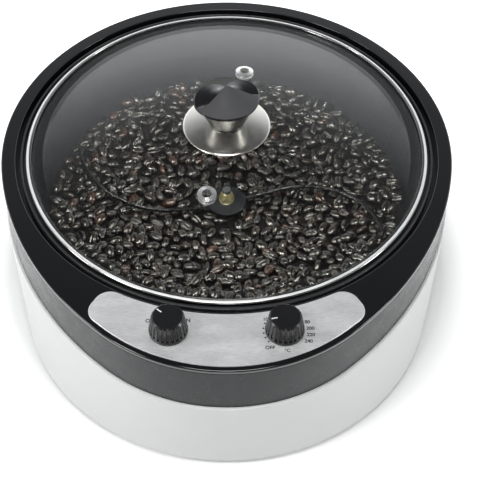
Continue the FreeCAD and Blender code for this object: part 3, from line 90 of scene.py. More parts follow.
def combined(tree, operation, first, second):
    node = tree.nodes.new("ShaderNodeMath")
    node.operation = operation
    tree.links.new(first, node.inputs[0])
    tree.links.new(second, node.inputs[1])
    return node.outputs[0]


class Tree:
    """A material's node tree, with one Principled shader at its end."""

    def __init__(self, name):
        self.material = bpy.data.materials.new(name)
        self.material.use_nodes = True
        self.nodes = self.material.node_tree.nodes
        self.links = self.material.node_tree.links
        self.shader = self.nodes["Principled BSDF"]
        self.place = self.add("ShaderNodeTexCoord").outputs["Object"]

    def add(self, kind, **values):
        node = self.nodes.new(kind)
        for key, value in values.items():
            setattr(node, key, value)
        return node

    def set(self, **values):
        for key, value in values.items():
            self.shader.inputs[key.replace("_", " ")].default_value = value

    def link(self, source, target):
        self.links.new(source, target)

    def stretched(self, scale):
        node = self.add("ShaderNodeMapping")
        node.inputs["Scale"].default_value = scale
        self.link(self.place, node.inputs["Vector"])
        return node.outputs["Vector"]

    def noise(self, scale, detail=3.0, rough=0.55, where=None):
        node = self.add("ShaderNodeTexNoise")
        node.inputs["Scale"].default_value = scale
        node.inputs["Detail"].default_value = detail
        node.inputs["Roughness"].default_value = rough
        self.link(where or self.place, node.inputs["Vector"])
        return node.outputs["Fac"]

    def ramp(self, fac, low, high, start=0.3, end=0.7):
        node = self.add("ShaderNodeValToRGB")
        node.color_ramp.elements[0].position = start
        node.color_ramp.elements[1].position = end
        node.color_ramp.elements[0].color = (*low, 1)
        node.color_ramp.elements[1].color = (*high, 1)
        self.link(fac, node.inputs["Fac"])
        return node.outputs["Color"]

    def spread(self, fac, low, high, start=0.3, end=0.7):
        return remapped(self, fac, start, end, low, high)

    def bump(self, height, strength, distance):
        node = self.add("ShaderNodeBump")
        node.inputs["Strength"].default_value = strength
        node.inputs["Distance"].default_value = distance
        self.link(height, node.inputs["Height"])
        return node.outputs["Normal"]

    def colour(self, socket):
        self.link(socket, self.shader.inputs["Base Color"])

    def roughness(self, socket):
        self.link(socket, self.shader.inputs["Roughness"])

    def normal(self, socket):
        self.link(socket, self.shader.inputs["Normal"])


def shade(colour, factor):
    return tuple(min(1.0, channel * factor) for channel in colour)


def moulded(name, colour, rough, grain=1500.0, depth=0.02, vary=0.06, coat=0.0, level=0.5):
    """Plastic, rubber or enamel: a faint mottle in colour, uneven gloss and a fine grain."""
    tree = Tree(name)
    tree.set(Specular_IOR_Level=level, Coat_Weight=coat, Coat_Roughness=0.04)
    mottle = tree.noise(28.0)
    tree.colour(tree.ramp(mottle, shade(colour, 1 - vary), shade(colour, 1 + vary)))
    patches = tree.noise(75.0, 4.0)
    tree.roughness(tree.spread(patches, rough * 0.85, rough * 1.2))
    fine = tree.noise(grain, 2.0)
    tree.normal(tree.bump(fine, depth, 0.0001))
    return tree.material


def metal(name, colour, rough, vary=0.05, scale=60.0, streaks=None, depth=0.05, spread=0.25):
    """Bare metal, with streaks where the surface is brushed, drawn or spun."""
    tree = Tree(name)
    tree.set(Metallic=1.0)
    place = tree.stretched(streaks) if streaks else None
    lines = tree.noise(scale, 4.0, 0.65, place)
    cloud = tree.noise(18.0)
    tree.colour(tree.ramp(cloud, shade(colour, 1 - vary), shade(colour, 1 + vary)))
    tree.roughness(tree.spread(lines, rough * (1 - spread), rough * (1 + spread)))
    tree.normal(tree.bump(lines, depth, 0.0001))
    return tree.material


def brushed_panel():
    """Short hairlines along X in colour, gloss and relief, over broad soft clouds."""
    tree = Tree("panel_metal")
    tree.set(Metallic=0.62)
    hair = tree.noise(1.0, 3.0, 0.7, tree.stretched((260.0, 1500.0, 1500.0)))
    cloud = tree.noise(1.0, 3.0, 0.6, tree.stretched((30.0, 90.0, 90.0)))
    tree.colour(tree.ramp(hair, (0.70, 0.70, 0.705), (0.97, 0.97, 0.97), 0.25, 0.75))
    tree.roughness(tree.spread(cloud, 0.34, 0.50))
    tree.normal(tree.bump(hair, 0.22, 0.0003))
    return tree.material


def turned_metal(name, colour, rough, pitch=900.0, depth=0.06):
    """Spun or turned metal: rings that change only with height."""
    tree = Tree(name)
    tree.set(Metallic=1.0)
    rings = tree.noise(1.0, 5.0, 0.7, tree.stretched((0.5, 0.5, pitch)))
    cloud = tree.noise(40.0)
    tree.colour(tree.ramp(rings, shade(colour, 0.88), shade(colour, 1.1)))
    tree.roughness(tree.spread(cloud, rough * 0.8, rough * 1.2))
    tree.normal(tree.bump(rings, depth, 0.0001))
    return tree.material


def satin_steel(name, colour, rough, metallic):
    """Steel with a soft milky polish and faint wiping marks in its gloss."""
    tree = Tree(name)
    tree.set(Metallic=metallic)
    cloud = tree.noise(35.0)
    tree.colour(tree.ramp(cloud, shade(colour, 0.96), shade(colour, 1.03)))
    wipes = tree.noise(140.0, 3.0)
    tree.roughness(tree.spread(wipes, rough * 0.85, rough * 1.2))
    tree.normal(tree.bump(wipes, 0.01, 0.0001))
    return tree.material


def nonstick():
    """Dark coating with a satin gloss and pale flecks."""
    tree = Tree("nonstick_black")
    tree.set(Specular_IOR_Level=0.5)
    cloud = tree.noise(22.0)
    tree.colour(tree.ramp(cloud, (0.020, 0.021, 0.023), (0.034, 0.035, 0.038)))
    flecks = tree.noise(700.0, 2.0)
    tree.roughness(tree.spread(flecks, 0.26, 0.42))
    tree.normal(tree.bump(flecks, 0.02, 0.0002))
    return tree.material


GLASS_LETS_LIGHT = 0.8        # share of a lamp's light that passes the glass unbent


def clear_glass():
    """Clear glass that lets lamps through to the beans, with faint waves in its polish."""
    tree = Tree("clear_glass")
    tree.set(Base_Color=(0.95, 0.965, 0.96, 1), Transmission_Weight=1.0, IOR=1.40, Roughness=0.0)
    path = tree.add("ShaderNodeLightPath")
    less = tree.add("ShaderNodeMath", operation="MULTIPLY_ADD")
    less.inputs[1].default_value = -GLASS_LETS_LIGHT
    less.inputs[2].default_value = 1.0
    tree.link(path.outputs["Is Shadow Ray"], less.inputs[0])
    tree.link(less.outputs[0], tree.shader.inputs["Alpha"])
    wave = tree.noise(9.0, 1.0)
    tree.normal(tree.bump(wave, 0.02, 0.0005))
    return tree.material


def roasted():
    """Oily dark roast: a tone of its own for each bean, painted shade in the cleft and a fine
    crackle.
    """
    tree = Tree("roasted_bean")
    tree.set(Specular_IOR_Level=0.9, Specular_Tint=(1.0, 0.93, 0.82, 1), Coat_Weight=0.9,
             Coat_Roughness=0.11, Coat_IOR=2.05, Coat_Tint=(1.0, 0.95, 0.86, 1))
    tone = tree.add("ShaderNodeAttribute", attribute_name="tone")
    groove = tree.add("ShaderNodeAttribute", attribute_name="groove")
    body = tree.add("ShaderNodeValToRGB")
    stops = body.color_ramp
    stops.elements[0].position = 0.0
    stops.elements[0].color = (0.005, 0.0042, 0.0036, 1)
    stops.elements[1].position = 1.0
    stops.elements[1].color = (0.085, 0.034, 0.020, 1)
    for position, colour in ((0.55, (0.009, 0.0072, 0.006, 1)), (0.88, (0.024, 0.014, 0.010, 1))):
        stops.elements.new(position).color = colour
    tree.link(tone.outputs["Fac"], body.inputs["Fac"])
    speckle = tree.noise(520.0, 4.0, 0.6)
    dark = tree.add("ShaderNodeMix", data_type="RGBA", blend_type="MULTIPLY")
    dark.inputs["Factor"].default_value = 1.0
    tree.link(body.outputs["Color"], dark.inputs["A"])
    tree.link(tree.ramp(speckle, (0.65, 0.65, 0.65), (1.25, 1.2, 1.15)), dark.inputs["B"])
    # Painted shade: the cleft is darkened to near black by the groove attribute.
    cleft = tree.add("ShaderNodeMix", data_type="RGBA")
    tree.link(groove.outputs["Fac"], cleft.inputs["Factor"])
    tree.link(dark.outputs["Result"], cleft.inputs["A"])
    cleft.inputs["B"].default_value = (0.006, 0.004, 0.003, 1)
    tree.colour(cleft.outputs["Result"])
    tree.roughness(tree.spread(tree.noise(160.0), 0.20, 0.42))
    tree.normal(tree.bump(speckle, 0.30, 0.0004))
    return tree.material


def painted(name, colour, rough=0.5):
    """Printing ink or paint, slightly uneven."""
    tree = Tree(name)
    cover = tree.noise(900.0, 2.0)
    tree.colour(tree.ramp(cover, shade(colour, 0.85), shade(colour, 1.1)))
    tree.roughness(tree.spread(cover, rough * 0.9, rough * 1.1))
    return tree.material


FINISHES = {
    "shell_white": moulded("shell_white", (0.755, 0.76, 0.75), 0.34, 900.0, 0.008, 0.008, 0.10),
    "band_charcoal": moulded("band_charcoal", (0.015, 0.016, 0.018), 0.27, 1300.0, 0.0, 0.03,
                             0.0, 0.22),
    "deck_black": moulded("deck_black", (0.006, 0.006, 0.007), 0.08, 300.0, 0.004, 0.10, 0.6),
    "panel_metal": brushed_panel(),
    "control_black": moulded("control_black", (0.010, 0.010, 0.011), 0.22, 1500.0, 0.03, 0.10),
    "cap_black": moulded("cap_black", (0.014, 0.014, 0.015), 0.16, 500.0, 0.01, 0.10, 0.3),
    "polished_steel": metal("polished_steel", (0.82, 0.82, 0.81), 0.12, 0.03, 45.0, None, 0.01),
    "spun_steel": turned_metal("spun_steel", (0.62, 0.615, 0.60), 0.22),
    "clear_glass": clear_glass(),
    "nonstick_black": nonstick(),
    "wire_steel": metal("wire_steel", (0.10, 0.098, 0.095), 0.30, 0.15, 300.0),
    "brass": metal("brass", (0.98, 0.84, 0.44), 0.40, 0.08, 250.0, None, 0.04),
    "bronze": metal("bronze", (0.55, 0.36, 0.16), 0.38, 0.10, 700.0),
    "copper": metal("copper", (0.62, 0.27, 0.14), 0.30, 0.10, 60.0, (60.0, 60.0, 900.0), 0.2),
    "foot_rubber": moulded("foot_rubber", (0.018, 0.018, 0.018), 0.65, 900.0, 0.12, 0.12),
    "seal_silicone": moulded("seal_silicone", (0.05, 0.05, 0.05), 0.55, 700.0, 0.08, 0.08),
    "zinc_steel": metal("zinc_steel", (0.52, 0.54, 0.56), 0.34, 0.14, 120.0, None, 0.06),
    "reflector_steel": metal("reflector_steel", (0.66, 0.66, 0.64), 0.26, 0.06, 160.0),
    "element_sheath": metal("element_sheath", (0.13, 0.125, 0.12), 0.52, 0.30, 90.0),
    "nylon_white": moulded("nylon_white", (0.76, 0.74, 0.68), 0.45, 900.0, 0.06, 0.03),
    "phenolic_dark": moulded("phenolic_dark", (0.055, 0.042, 0.034), 0.40, 700.0, 0.06, 0.12),
    "ferrite": moulded("ferrite", (0.06, 0.06, 0.062), 0.60, 1200.0, 0.15, 0.15),
    "roasted_bean": roasted(),
}

SEAT_STEEL = satin_steel("seat_steel", (0.76, 0.735, 0.69), 0.22, 1.0)
# The lid's rim takes two copies of one steel: a dark one that is painted shade, and a light,
# rougher one along the bead's crest that is a painted highlight.
RIM_STEEL_SHADED = satin_steel("rim_steel_shaded", (0.36, 0.36, 0.355), 0.10, 1.0)
RIM_CREST_HIGHLIGHT = satin_steel("rim_crest_highlight", (0.88, 0.88, 0.87), 0.42, 0.25)
BRIGHT_STEEL = satin_steel("bright_steel", (0.90, 0.90, 0.89), 0.18, 0.78)
CONE_STEEL = turned_metal("cone_steel", (0.235, 0.235, 0.22), 0.28)
# Front lobe of the knob's cap: a matt finish, and a lighter copy of the cap's black that is painted
# light.
CAP_MATT_PAINTED_LIGHT = moulded("cap_matt_painted_light", (0.060, 0.060, 0.063), 0.58, 1400.0, 0.10, 0.05)
BEAN_SHADE = moulded("bean_shade", (0.008, 0.006, 0.005), 0.6)
OWN_FINISHES = {"hub_washer": BRIGHT_STEEL, "vent_eyelets": BRIGHT_STEEL}


def dress_solids():
    """Gives every carried-over solid the finish its record names."""
    for part in frame["record"]["subparts"]:
        thing = frame["nodes"][part["node"]]
        finish = OWN_FINISHES.get(part["node"], FINISHES[part["material_slot"]])
        if not thing.material_slots:
            thing.data.materials.append(finish)
        for place in thing.material_slots:
            place.material = finish


# ---- printing on the control panel ----

INK = painted("dial_ink", (0.012, 0.012, 0.013), 0.45)
INK_FILM = 0.02 * MM
INK_WEIGHT = 0.09 * MM        # how much heavier the letters are than the plain font
POWER_LETTERS = 3.7
HEAT_LETTERS = 3.4
UNIT_LETTERS = 3.2
DOT_CIRCLE = 13.3 * MM
DOT_RADIUS = 0.6 * MM
DOT_RISE = 0.04 * MM
DOT_SIDES = 20


def words(name, text, x, y, size):
    """Printed word round a point; x and y in metres, size in mm."""
    curve = bpy.data.curves.new(name, "FONT")
    curve.body = text
    curve.size = size * MM
    curve.align_x = "CENTER"
    curve.align_y = "CENTER"
    curve.extrude = INK_FILM
    curve.offset = INK_WEIGHT
    curve.materials.append(INK)
    thing = bpy.data.objects.new(name, curve)
    thing.location = (x, y, PANEL_TOP + INK_FILM)
    bpy.context.collection.objects.link(thing)
    bpy.context.view_layer.update()
    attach(thing, "case")


def dot(name, x, y):
    """Low domed dot of ink."""
    rings = ((0.6, DOT_RISE * 0.85), (0.9, DOT_RISE * 0.45), (1.0, 0.0))
    points = [(x, y, PANEL_TOP + DOT_RISE)]
    for share, height in rings:
        for k in range(DOT_SIDES):
            turn = 2 * math.pi * k / DOT_SIDES
            points.append((x + share * DOT_RADIUS * math.cos(turn),
                           y + share * DOT_RADIUS * math.sin(turn), PANEL_TOP + height))
    faces = [(0, 1 + k, 1 + (k + 1) % DOT_SIDES) for k in range(DOT_SIDES)]
    for row in range(len(rings) - 1):
        for k in range(DOT_SIDES):
            a = 1 + row * DOT_SIDES + k
            b = 1 + row * DOT_SIDES + (k + 1) % DOT_SIDES
            faces.append((a, a + DOT_SIDES, b + DOT_SIDES, b))
    mesh_piece(name, points, faces, INK, "case")


def mesh_piece(name, points, faces, finish, body, sharp=None):
    """Mesh with its faces turned outwards. Edges steeper than sharp degrees stay crisp; at 0 all
    faces are flat."""
    mesh = bpy.data.meshes.new(name)
    mesh.from_pydata([tuple(p) for p in points], [], [tuple(f) for f in faces])
    mesh.materials.append(finish)
    work = bmesh.new()
    work.from_mesh(mesh)
    bmesh.ops.recalc_face_normals(work, faces=work.faces)
    work.to_mesh(mesh)
    work.free()
    mesh.update()
    if sharp != 0:
        mesh.shade_smooth()
    if sharp:
        mesh.set_sharp_from_angle(angle=math.radians(sharp))
    thing = bpy.data.objects.new(name, mesh)
    bpy.context.collection.objects.link(thing)
    bpy.context.view_layer.update()
    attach(thing, body)
    return thing


def loops(count, size):
    """Faces between closed sections of the given size, set one behind the other in a ring."""
    return [(k * size + n, (k + 1) % count * size + n,
             (k + 1) % count * size + (n + 1) % size, k * size + (n + 1) % size)
            for k in range(count) for n in range(size)]


def turned(name, section, base, finish, body, count=192):
    """Closed section of (radius, height) points in mm, turned round the lid's axis."""
    points = []
    for k in range(count):
        turn = 2 * math.pi * k / count
        points += [(r * MM * math.cos(turn), AXIS_Y + r * MM * math.sin(turn), base + z * MM)
                   for r, z in section]
    return mesh_piece(name, points, loops(count, len(section)), finish, body, 32)


def lettering():
    """Words and numbers round both dials, and the dots below the lowest heat."""
    left, right, row = POWER.x, THERMO.x, POWER.y
    words("power_off", "OFF", left - 11.3 * MM, row + 7.0 * MM, POWER_LETTERS)
    words("power_on", "ON", left + 10.6 * MM, row + 7.3 * MM, POWER_LETTERS)
    words("heat_100", "100", right - 10.9 * MM, row + 8.2 * MM, HEAT_LETTERS)
    words("heat_180", "180", right + 13.3 * MM, row + 6.2 * MM, HEAT_LETTERS)
    words("heat_200", "200", right + 15.9 * MM, row + 1.4 * MM, HEAT_LETTERS)
    words("heat_220", "220", right + 16.0 * MM, row - 3.5 * MM, HEAT_LETTERS)
    words("heat_240", "240", right + 14.4 * MM, row - 8.3 * MM, HEAT_LETTERS)
    words("heat_off", "OFF", right - 9.4 * MM, row - 13.2 * MM, HEAT_LETTERS)
    words("heat_unit", "°C", right + 1.1 * MM, row - 15.3 * MM, UNIT_LETTERS)
    for k, angle in enumerate((157.0, 174.0, 190.0, 205.0, 220.0)):
        turn = math.radians(angle)
        dot("heat_dot_%d" % k, right + DOT_CIRCLE * math.cos(turn),
            row + DOT_CIRCLE * math.sin(turn))


# ---- pointer lines on the two knobs ----

POINTER_INNER = 5.0 * MM      # from the knob's axis
POINTER_OUTER = 8.9 * MM
POINTER_HALF_WIDTH = 0.4 * MM
POINTER_RISE = 0.06 * MM
POWER_REST = 140.0            # where each pointer stands at rest, in degrees
THERMO_REST = 191.0


def pointer(name, centre, degrees, body):
    """Short white line let into the knob's flat top."""
    along = Vector((math.cos(math.radians(degrees)), math.sin(math.radians(degrees)), 0))
    across = Vector((-along.y, along.x, 0))
    hub = Vector((centre.x, centre.y, KNOB_TOP))
    section = ((-1.0, -0.3), (-1.0, 0.6), (-0.8, 1.0), (0.8, 1.0), (1.0, 0.6), (1.0, -0.3))
    stations = ((POINTER_INNER, 0.7), (POINTER_INNER + 0.4 * MM, 1.0),
                (POINTER_OUTER - 0.5 * MM, 1.0), (POINTER_OUTER, 0.8))
    points = [hub + along * reach + across * (POINTER_HALF_WIDTH * s * share)
              + Vector((0, 0, POINTER_RISE * h))
              for reach, share in stations for s, h in section]
    count = len(section)
    faces = [(r * count + k, r * count + (k + 1) % count,
              (r + 1) * count + (k + 1) % count, (r + 1) * count + k)
             for r in range(len(stations) - 1) for k in range(count)]
    faces += [tuple(range(count))[::-1],
              tuple(range((len(stations) - 1) * count, len(stations) * count))]
    white = painted(name + "_paint", (0.86, 0.86, 0.85), 0.4)
    mesh_piece(name, points, faces, white, body, 0)


# ---- the case: flared shell and band ----

DECK_LOW, DECK_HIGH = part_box("top_deck")
REAR_RADIUS = (DECK_HIGH.x - DECK_LOW.x) / 2 / MM
FRONT_REACH = (AXIS_Y - DECK_LOW.y) / MM
CASE_FRONT_TIGHTER = 38.3     # front round of deck and band, against the rear round
CASE_SIDE_FLATTER = 71.0      # and their flanks
FOOT_FRONT_TIGHTER = 12.3     # at its foot the shell's front round is nearly as large as the rear
FOOT_SIDE_FLATTER = 500.0     # and its flanks are nearly straight
SHELL_PROUD = 2.0             # how far the shell stands out beyond the band
SHELL_WALL = 1.5
SHELL_ROUND = 1.4
SHELL_EDGE = 3.0              # height of the upright edge at the shell's lip and foot
SHELL_LEDGE = 4.0
SHELL_FLANGE = 18.0
SHELL_MIDDLE = 45.0
SHELL_TOP = 68.4
BAND_WALL = 1.5
BAND_CHAMFER = 0.7
CABLE_HEIGHT = (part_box("cable_bush")[0].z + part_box("cable_bush")[1].z) / 2 / MM
CABLE_HOLE = 4.4              # half the height of the hole behind the cable bush
TURNS = 240


def egg_rounds(front_radius, side_radius):
    """Rear, flank and front rounds of the right half: centre, radius and the direction that
    each one faces where it runs into the next."""
    to_rear = side_radius - REAR_RADIUS
    to_front = side_radius - front_radius
    shift = FRONT_REACH - front_radius
    y = (to_front ** 2 - to_rear ** 2 - shift ** 2) / (2 * shift)
    x = math.sqrt(to_rear ** 2 - y ** 2)
    return [(0.0, 0.0, REAR_RADIUS, math.atan2(-y, x)),
            (-x, y, side_radius, math.atan2(-y - shift, x)),
            (0.0, -shift, front_radius, -math.pi)]


CASE_ROUNDS = egg_rounds(REAR_RADIUS - CASE_FRONT_TIGHTER, REAR_RADIUS + CASE_SIDE_FLATTER)
FOOT_ROUNDS = egg_rounds(REAR_RADIUS - FOOT_FRONT_TIGHTER, REAR_RADIUS + FOOT_SIDE_FLATTER)


def egg_point(rounds, turn, inset):
    """Point of an egg outline where it faces the given way, moved inwards by the inset."""
    facing = math.asin(math.sin(turn))
    side = 1 if math.cos(turn) >= 0 else -1
    x, y, radius, _ = next(item for item in rounds if facing >= item[3])
    reach = radius - inset
    return Vector((side * x + reach * math.cos(turn), y + reach * math.sin(turn)))


def egg_section(section, turn):
    """Points of one section; each is (share of the case outline, inset, height) in mm, where
    a share of 0 is the fuller outline of the foot."""
    points = []
    for share, inset, height in section:
        spot = (egg_point(CASE_ROUNDS, turn, inset) * share
                + egg_point(FOOT_ROUNDS, turn, inset) * (1 - share))
        points.append((spot.x * MM, AXIS_Y + spot.y * MM, height * MM))
    return points


def flared_shell():
    """White shell: it widens from its rounded lip to its foot, turns in to a ledge for the band
    above and to a flange below, and has a hole for the cable bush."""
    low = SHELL_LOW / MM
    foot_top, lip_low = low + SHELL_EDGE, SHELL_TOP - SHELL_EDGE
    inner = SHELL_WALL - SHELL_PROUD

    def share(height):
        return (height - foot_top) / (lip_low - foot_top)

    steps = [math.radians(a) for a in range(0, 91, 15)]
    hole = (CABLE_HEIGHT - CABLE_HOLE, CABLE_HEIGHT + CABLE_HOLE)
    levels = [foot_top, *hole, SHELL_MIDDLE, lip_low]
    section = [(0, SHELL_ROUND * (1 - math.sin(a)) - SHELL_PROUD,
                low + SHELL_ROUND * (1 - math.cos(a))) for a in steps]
    outer_start = len(section)
    section += [(share(z), -SHELL_PROUD, z) for z in levels]
    section += [(1, SHELL_ROUND * (1 - math.cos(a)) - SHELL_PROUD,
                 SHELL_TOP - SHELL_ROUND * (1 - math.sin(a))) for a in steps]
    section += [(1, SHELL_LEDGE, SHELL_TOP), (1, SHELL_LEDGE, SHELL_TOP - SHELL_WALL),
                (1, inner, SHELL_TOP - SHELL_WALL)]
    inner_start = len(section)
    section += [(share(z), inner, z) for z in reversed(levels)]
    section += [(0, inner, low + SHELL_WALL), (0, SHELL_FLANGE, low + SHELL_WALL),
                (0, SHELL_FLANGE, low)]
    size = len(section)
    points = []
    for k in range(TURNS):
        points += egg_section(section, 2 * math.pi * k / TURNS)
    back = TURNS // 4
    outside = outer_start + 1
    inside = inner_start + len(levels) - 3
    gone = {(k, n) for k in (back - 1, back) for n in (outside, inside)}
    faces = [side for place, side in enumerate(loops(TURNS, size))
             if (place // size, place % size) not in gone]
    for k in (back - 1, back):
        for a, b in ((outside, inside + 1), (outside + 1, inside)):
            faces.append((k * size + a, (k + 1) * size + a, (k + 1) * size + b, k * size + b))
    for k in (back - 1, back + 1):
        faces.append((k * size + outside, k * size + outside + 1, k * size + inside,
                      k * size + inside + 1))
    piece = mesh_piece("flared_shell", points, faces, FINISHES["shell_white"], "case", 35)
    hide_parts("lower_shell")


def deep_band():
    """Charcoal band between the shell's ledge and the deck, bevelled along both edges."""
    high = DECK_UNDER / MM
    section = [(1, BAND_CHAMFER, SHELL_TOP), (1, 0, SHELL_TOP + BAND_CHAMFER),
               (1, 0, high - BAND_CHAMFER), (1, BAND_CHAMFER, high), (1, BAND_WALL, high),
               (1, BAND_WALL, SHELL_TOP)]
    points = []
    for k in range(TURNS):
        points += egg_section(section, 2 * math.pi * k / TURNS)
    piece = mesh_piece("deep_band", points, loops(TURNS, len(section)), FINISHES["band_charcoal"],
                       "case", 30)
    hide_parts("upper_band")


# ---- the lid's rim and knob ----

RIM_BEAD = 3.0                # width of the soft bead on the rim's top
RIM_BEAD_DROP = 1.4           # how far it falls to the rim's edge
RIM_REACH = 4.0               # width of the whole rim
RIM_SHEET = 0.8
RIM_GROOVE = 0.5
RIM_HIGHLIGHT_STEPS = range(2, 8)  # steps of the section along the bead's crest, which carry its painted highlight
RIM_COUNT = 288


def rolled_rim():
    """Steel rim as it is rolled: a soft bead outside, a fine groove and a thin inner lip. The
    bead's crest has a painted highlight; the rest takes a darker copy of the steel as painted
    shade.
    """
    low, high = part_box("lid_rim")
    outer = (high.x - low.x) / 2 / MM
    foot = (low.z - high.z) / MM
    inner = outer - RIM_REACH
    bead = [(outer - RIM_BEAD + RIM_BEAD * math.sin(math.radians(a)),
             -RIM_BEAD_DROP + RIM_BEAD_DROP * math.cos(math.radians(a))) for a in range(0, 91, 6)]
    under = [(outer, foot + 0.35), (outer - 0.1, foot + 0.1), (outer - 0.35, foot),
             (inner, foot), (inner, foot + RIM_SHEET), (outer - RIM_SHEET, foot + RIM_SHEET),
             (outer - RIM_SHEET, -RIM_GROOVE), (inner, -RIM_GROOVE)]
    lip = [(inner, -0.15), (inner + 0.1, -0.04), (inner + 0.3, 0.0), (inner + 0.5, -0.04),
           (inner + 0.65, -0.24), (inner + 0.8, -0.24)]
    section = bead + under + lip
    piece = turned("rolled_rim", section, high.z, RIM_STEEL_SHADED, "lid", RIM_COUNT)
    # Painted highlight: the steps along the bead's crest take the light copy of the steel.
    piece.data.materials.append(RIM_CREST_HIGHLIGHT)
    for number, side in enumerate(piece.data.polygons):
        side.material_index = int(number % len(section) in RIM_HIGHLIGHT_STEPS)
    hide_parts("lid_rim")


STEM_FOOT_RADIUS = 12.4
STEM_TOP_RADIUS = 21.2
STEM_BORE = 2.6               # radius of the hole for the knob's screw
STEM_SHEET = 1.2
STEM_LIFT = 2.5               # the domed seat carries the cone this much above its rim


def polished_cone():
    """Steel cone under the cap, with a rolled bead and a groove at its foot and a closed top."""
    foot, rise = STEM_FOOT_RADIUS, (CAP_LOW - SEAT_TOP) / MM - STEM_LIFT
    section = [(STEM_BORE, 0.0), (foot + 0.2, 0.0), (foot + 0.5, 0.25), (foot + 0.6, 0.6),
               (foot + 0.5, 0.95), (foot + 0.15, 1.2), (foot - 0.1, 1.35), (foot + 0.05, 1.8),
               (STEM_TOP_RADIUS - 0.2, rise - 0.35), (STEM_TOP_RADIUS, rise), (STEM_BORE, rise),
               (STEM_BORE, rise - STEM_SHEET),
               (STEM_TOP_RADIUS - 2 * STEM_SHEET, rise - STEM_SHEET),
               (foot - STEM_SHEET, STEM_SHEET), (STEM_BORE, STEM_SHEET)]
    piece = turned("polished_cone", section, SEAT_TOP + STEM_LIFT * MM, CONE_STEEL, "lid")
    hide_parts("knob_stem")


SEAT_DOME = 4.3               # rise of the seat from its rim to its middle
SEAT_SHEET = 0.7
SEAT_BEVEL = 0.3
SEAT_BORE = 3.0
SEAT_RINGS = 24


def domed_seat():
    """Polished disc under the cone, slightly domed."""
    edge = SEAT_RADIUS - SEAT_BEVEL
    radii = [edge - (edge - SEAT_BORE) * k / SEAT_RINGS for k in range(SEAT_RINGS + 1)]
    top = [(r, SEAT_SHEET + SEAT_DOME * (1 - (r / SEAT_RADIUS) ** 2)) for r in radii]
    under = [(r, h - SEAT_SHEET) for r, h in reversed(top)]
    section = top + under + [(SEAT_RADIUS, 0.0), (SEAT_RADIUS, SEAT_SHEET - 0.2)]
    piece = turned("domed_seat", section, SEAT_LOW, SEAT_STEEL, "lid")
    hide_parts("knob_seat")


CREASE_ANGLES = (96.0, 207.0, 366.0)     # rear, left and right crease
CREASE_RADII = (10.4, 23.8, 22.4)        # at the cap's edge
LOBE_RADII = (17.4, 23.0, 18.8)          # midway between the creases, at the cap's edge
CAP_EDGE = 1.7                           # height of the edge at the front lobe
CAP_BEVEL = 0.45
CAP_HEIGHT = 12.0
PETAL_RISE = 1.9                         # how far the rim of the two rear lobes turns up
PETAL_SHARES = (0.0, 0.12, 0.30, 0.55, 0.85, 1.0)
PETAL_HEIGHTS = (1.0, 0.66, 0.29, 0.09, 0.02, 0.0)
FRONT_BOW = 11.0                         # degrees by which the left crease bows to the front
RIGHT_BOW = 0.3                          # share of that bow in the right crease
CREASE_WIDTH = 5.0                       # in degrees
LIT_FACE_MARGIN = 2.0                        # degrees between the matt face, painted lighter, and the right crease
LOBE_STEPS = 40
CROWN_SHARES = (0.02, 0.05, 0.09, 0.14, 0.20, 0.27, 0.35, 0.44, 0.54, 0.64, 0.74, 0.83, 0.90,
                0.95, 0.98)


def arc_through(first, crest, last, count):
    """Points on the circle through three others, from the first to just before the last."""
    a, b = crest - first, last - first
    cross = 2 * (a.x * b.y - a.y * b.x)
    offset = Vector((b.y * a.dot(a) - a.y * b.dot(b), a.x * b.dot(b) - b.x * a.dot(a)))
    centre = first + offset / cross
    start, end = first - centre, last - centre
    sweep = (math.atan2(end.y, end.x) - math.atan2(start.y, start.x)) % (2 * math.pi)
    turn = math.atan2(start.y, start.x)
    return [centre + way(turn + sweep * k / count) * start.length for k in range(count)]


def way(turn):
    return Vector((math.cos(turn), math.sin(turn)))


def cap_rim():
    """Points of the cap's edge in plan, each with its direction: three arcs that meet at the
    creases."""
    rim = []
    for index, start in enumerate(CREASE_ANGLES):
        following = (index + 1) % 3
        sweep = (CREASE_ANGLES[following] - start) % 360
        arc = arc_through(way(math.radians(start)) * CREASE_RADII[index],
                          way(math.radians(start + sweep / 2)) * LOBE_RADII[index],
                          way(math.radians(start + sweep)) * CREASE_RADII[following], LOBE_STEPS)
        for point in arc:
            turn = math.degrees(math.atan2(point.y, point.x))
            rim.append((point, CREASE_ANGLES[0] + (turn - CREASE_ANGLES[0]) % 360))
    return rim


def soft_step(value):
    value = min(1.0, max(0.0, value))
    return value * value * (3 - 2 * value)


def petal_rim(turn):
    """Height of the edge: it turns up along the two rear lobes."""
    rear, left, right = CREASE_ANGLES
    if left < turn < right:
        return CAP_EDGE
    along = (turn - rear) / (left - rear) if turn <= left else (turn - right) / (rear + 360 - right)
    return CAP_EDGE + PETAL_RISE * math.sin(math.pi * min(1.0, max(0.0, along)))


def crown_height(share, turn):
    """Straight fall of the front lobe, dished rear lobes, and a fold where they meet."""
    _, left, right = CREASE_ANGLES
    bow = FRONT_BOW * math.sin(math.pi * share)
    front = (soft_step((turn - left - bow) / CREASE_WIDTH)
             * soft_step((right - RIGHT_BOW * bow - turn) / CREASE_WIDTH))
    slope = CAP_EDGE + (CAP_HEIGHT - CAP_EDGE) * (1 - share)
    edge = petal_rim(turn)
    dish = edge + (CAP_HEIGHT - edge) * float(np.interp(share, PETAL_SHARES, PETAL_HEIGHTS))
    return dish + (slope - dish) * front


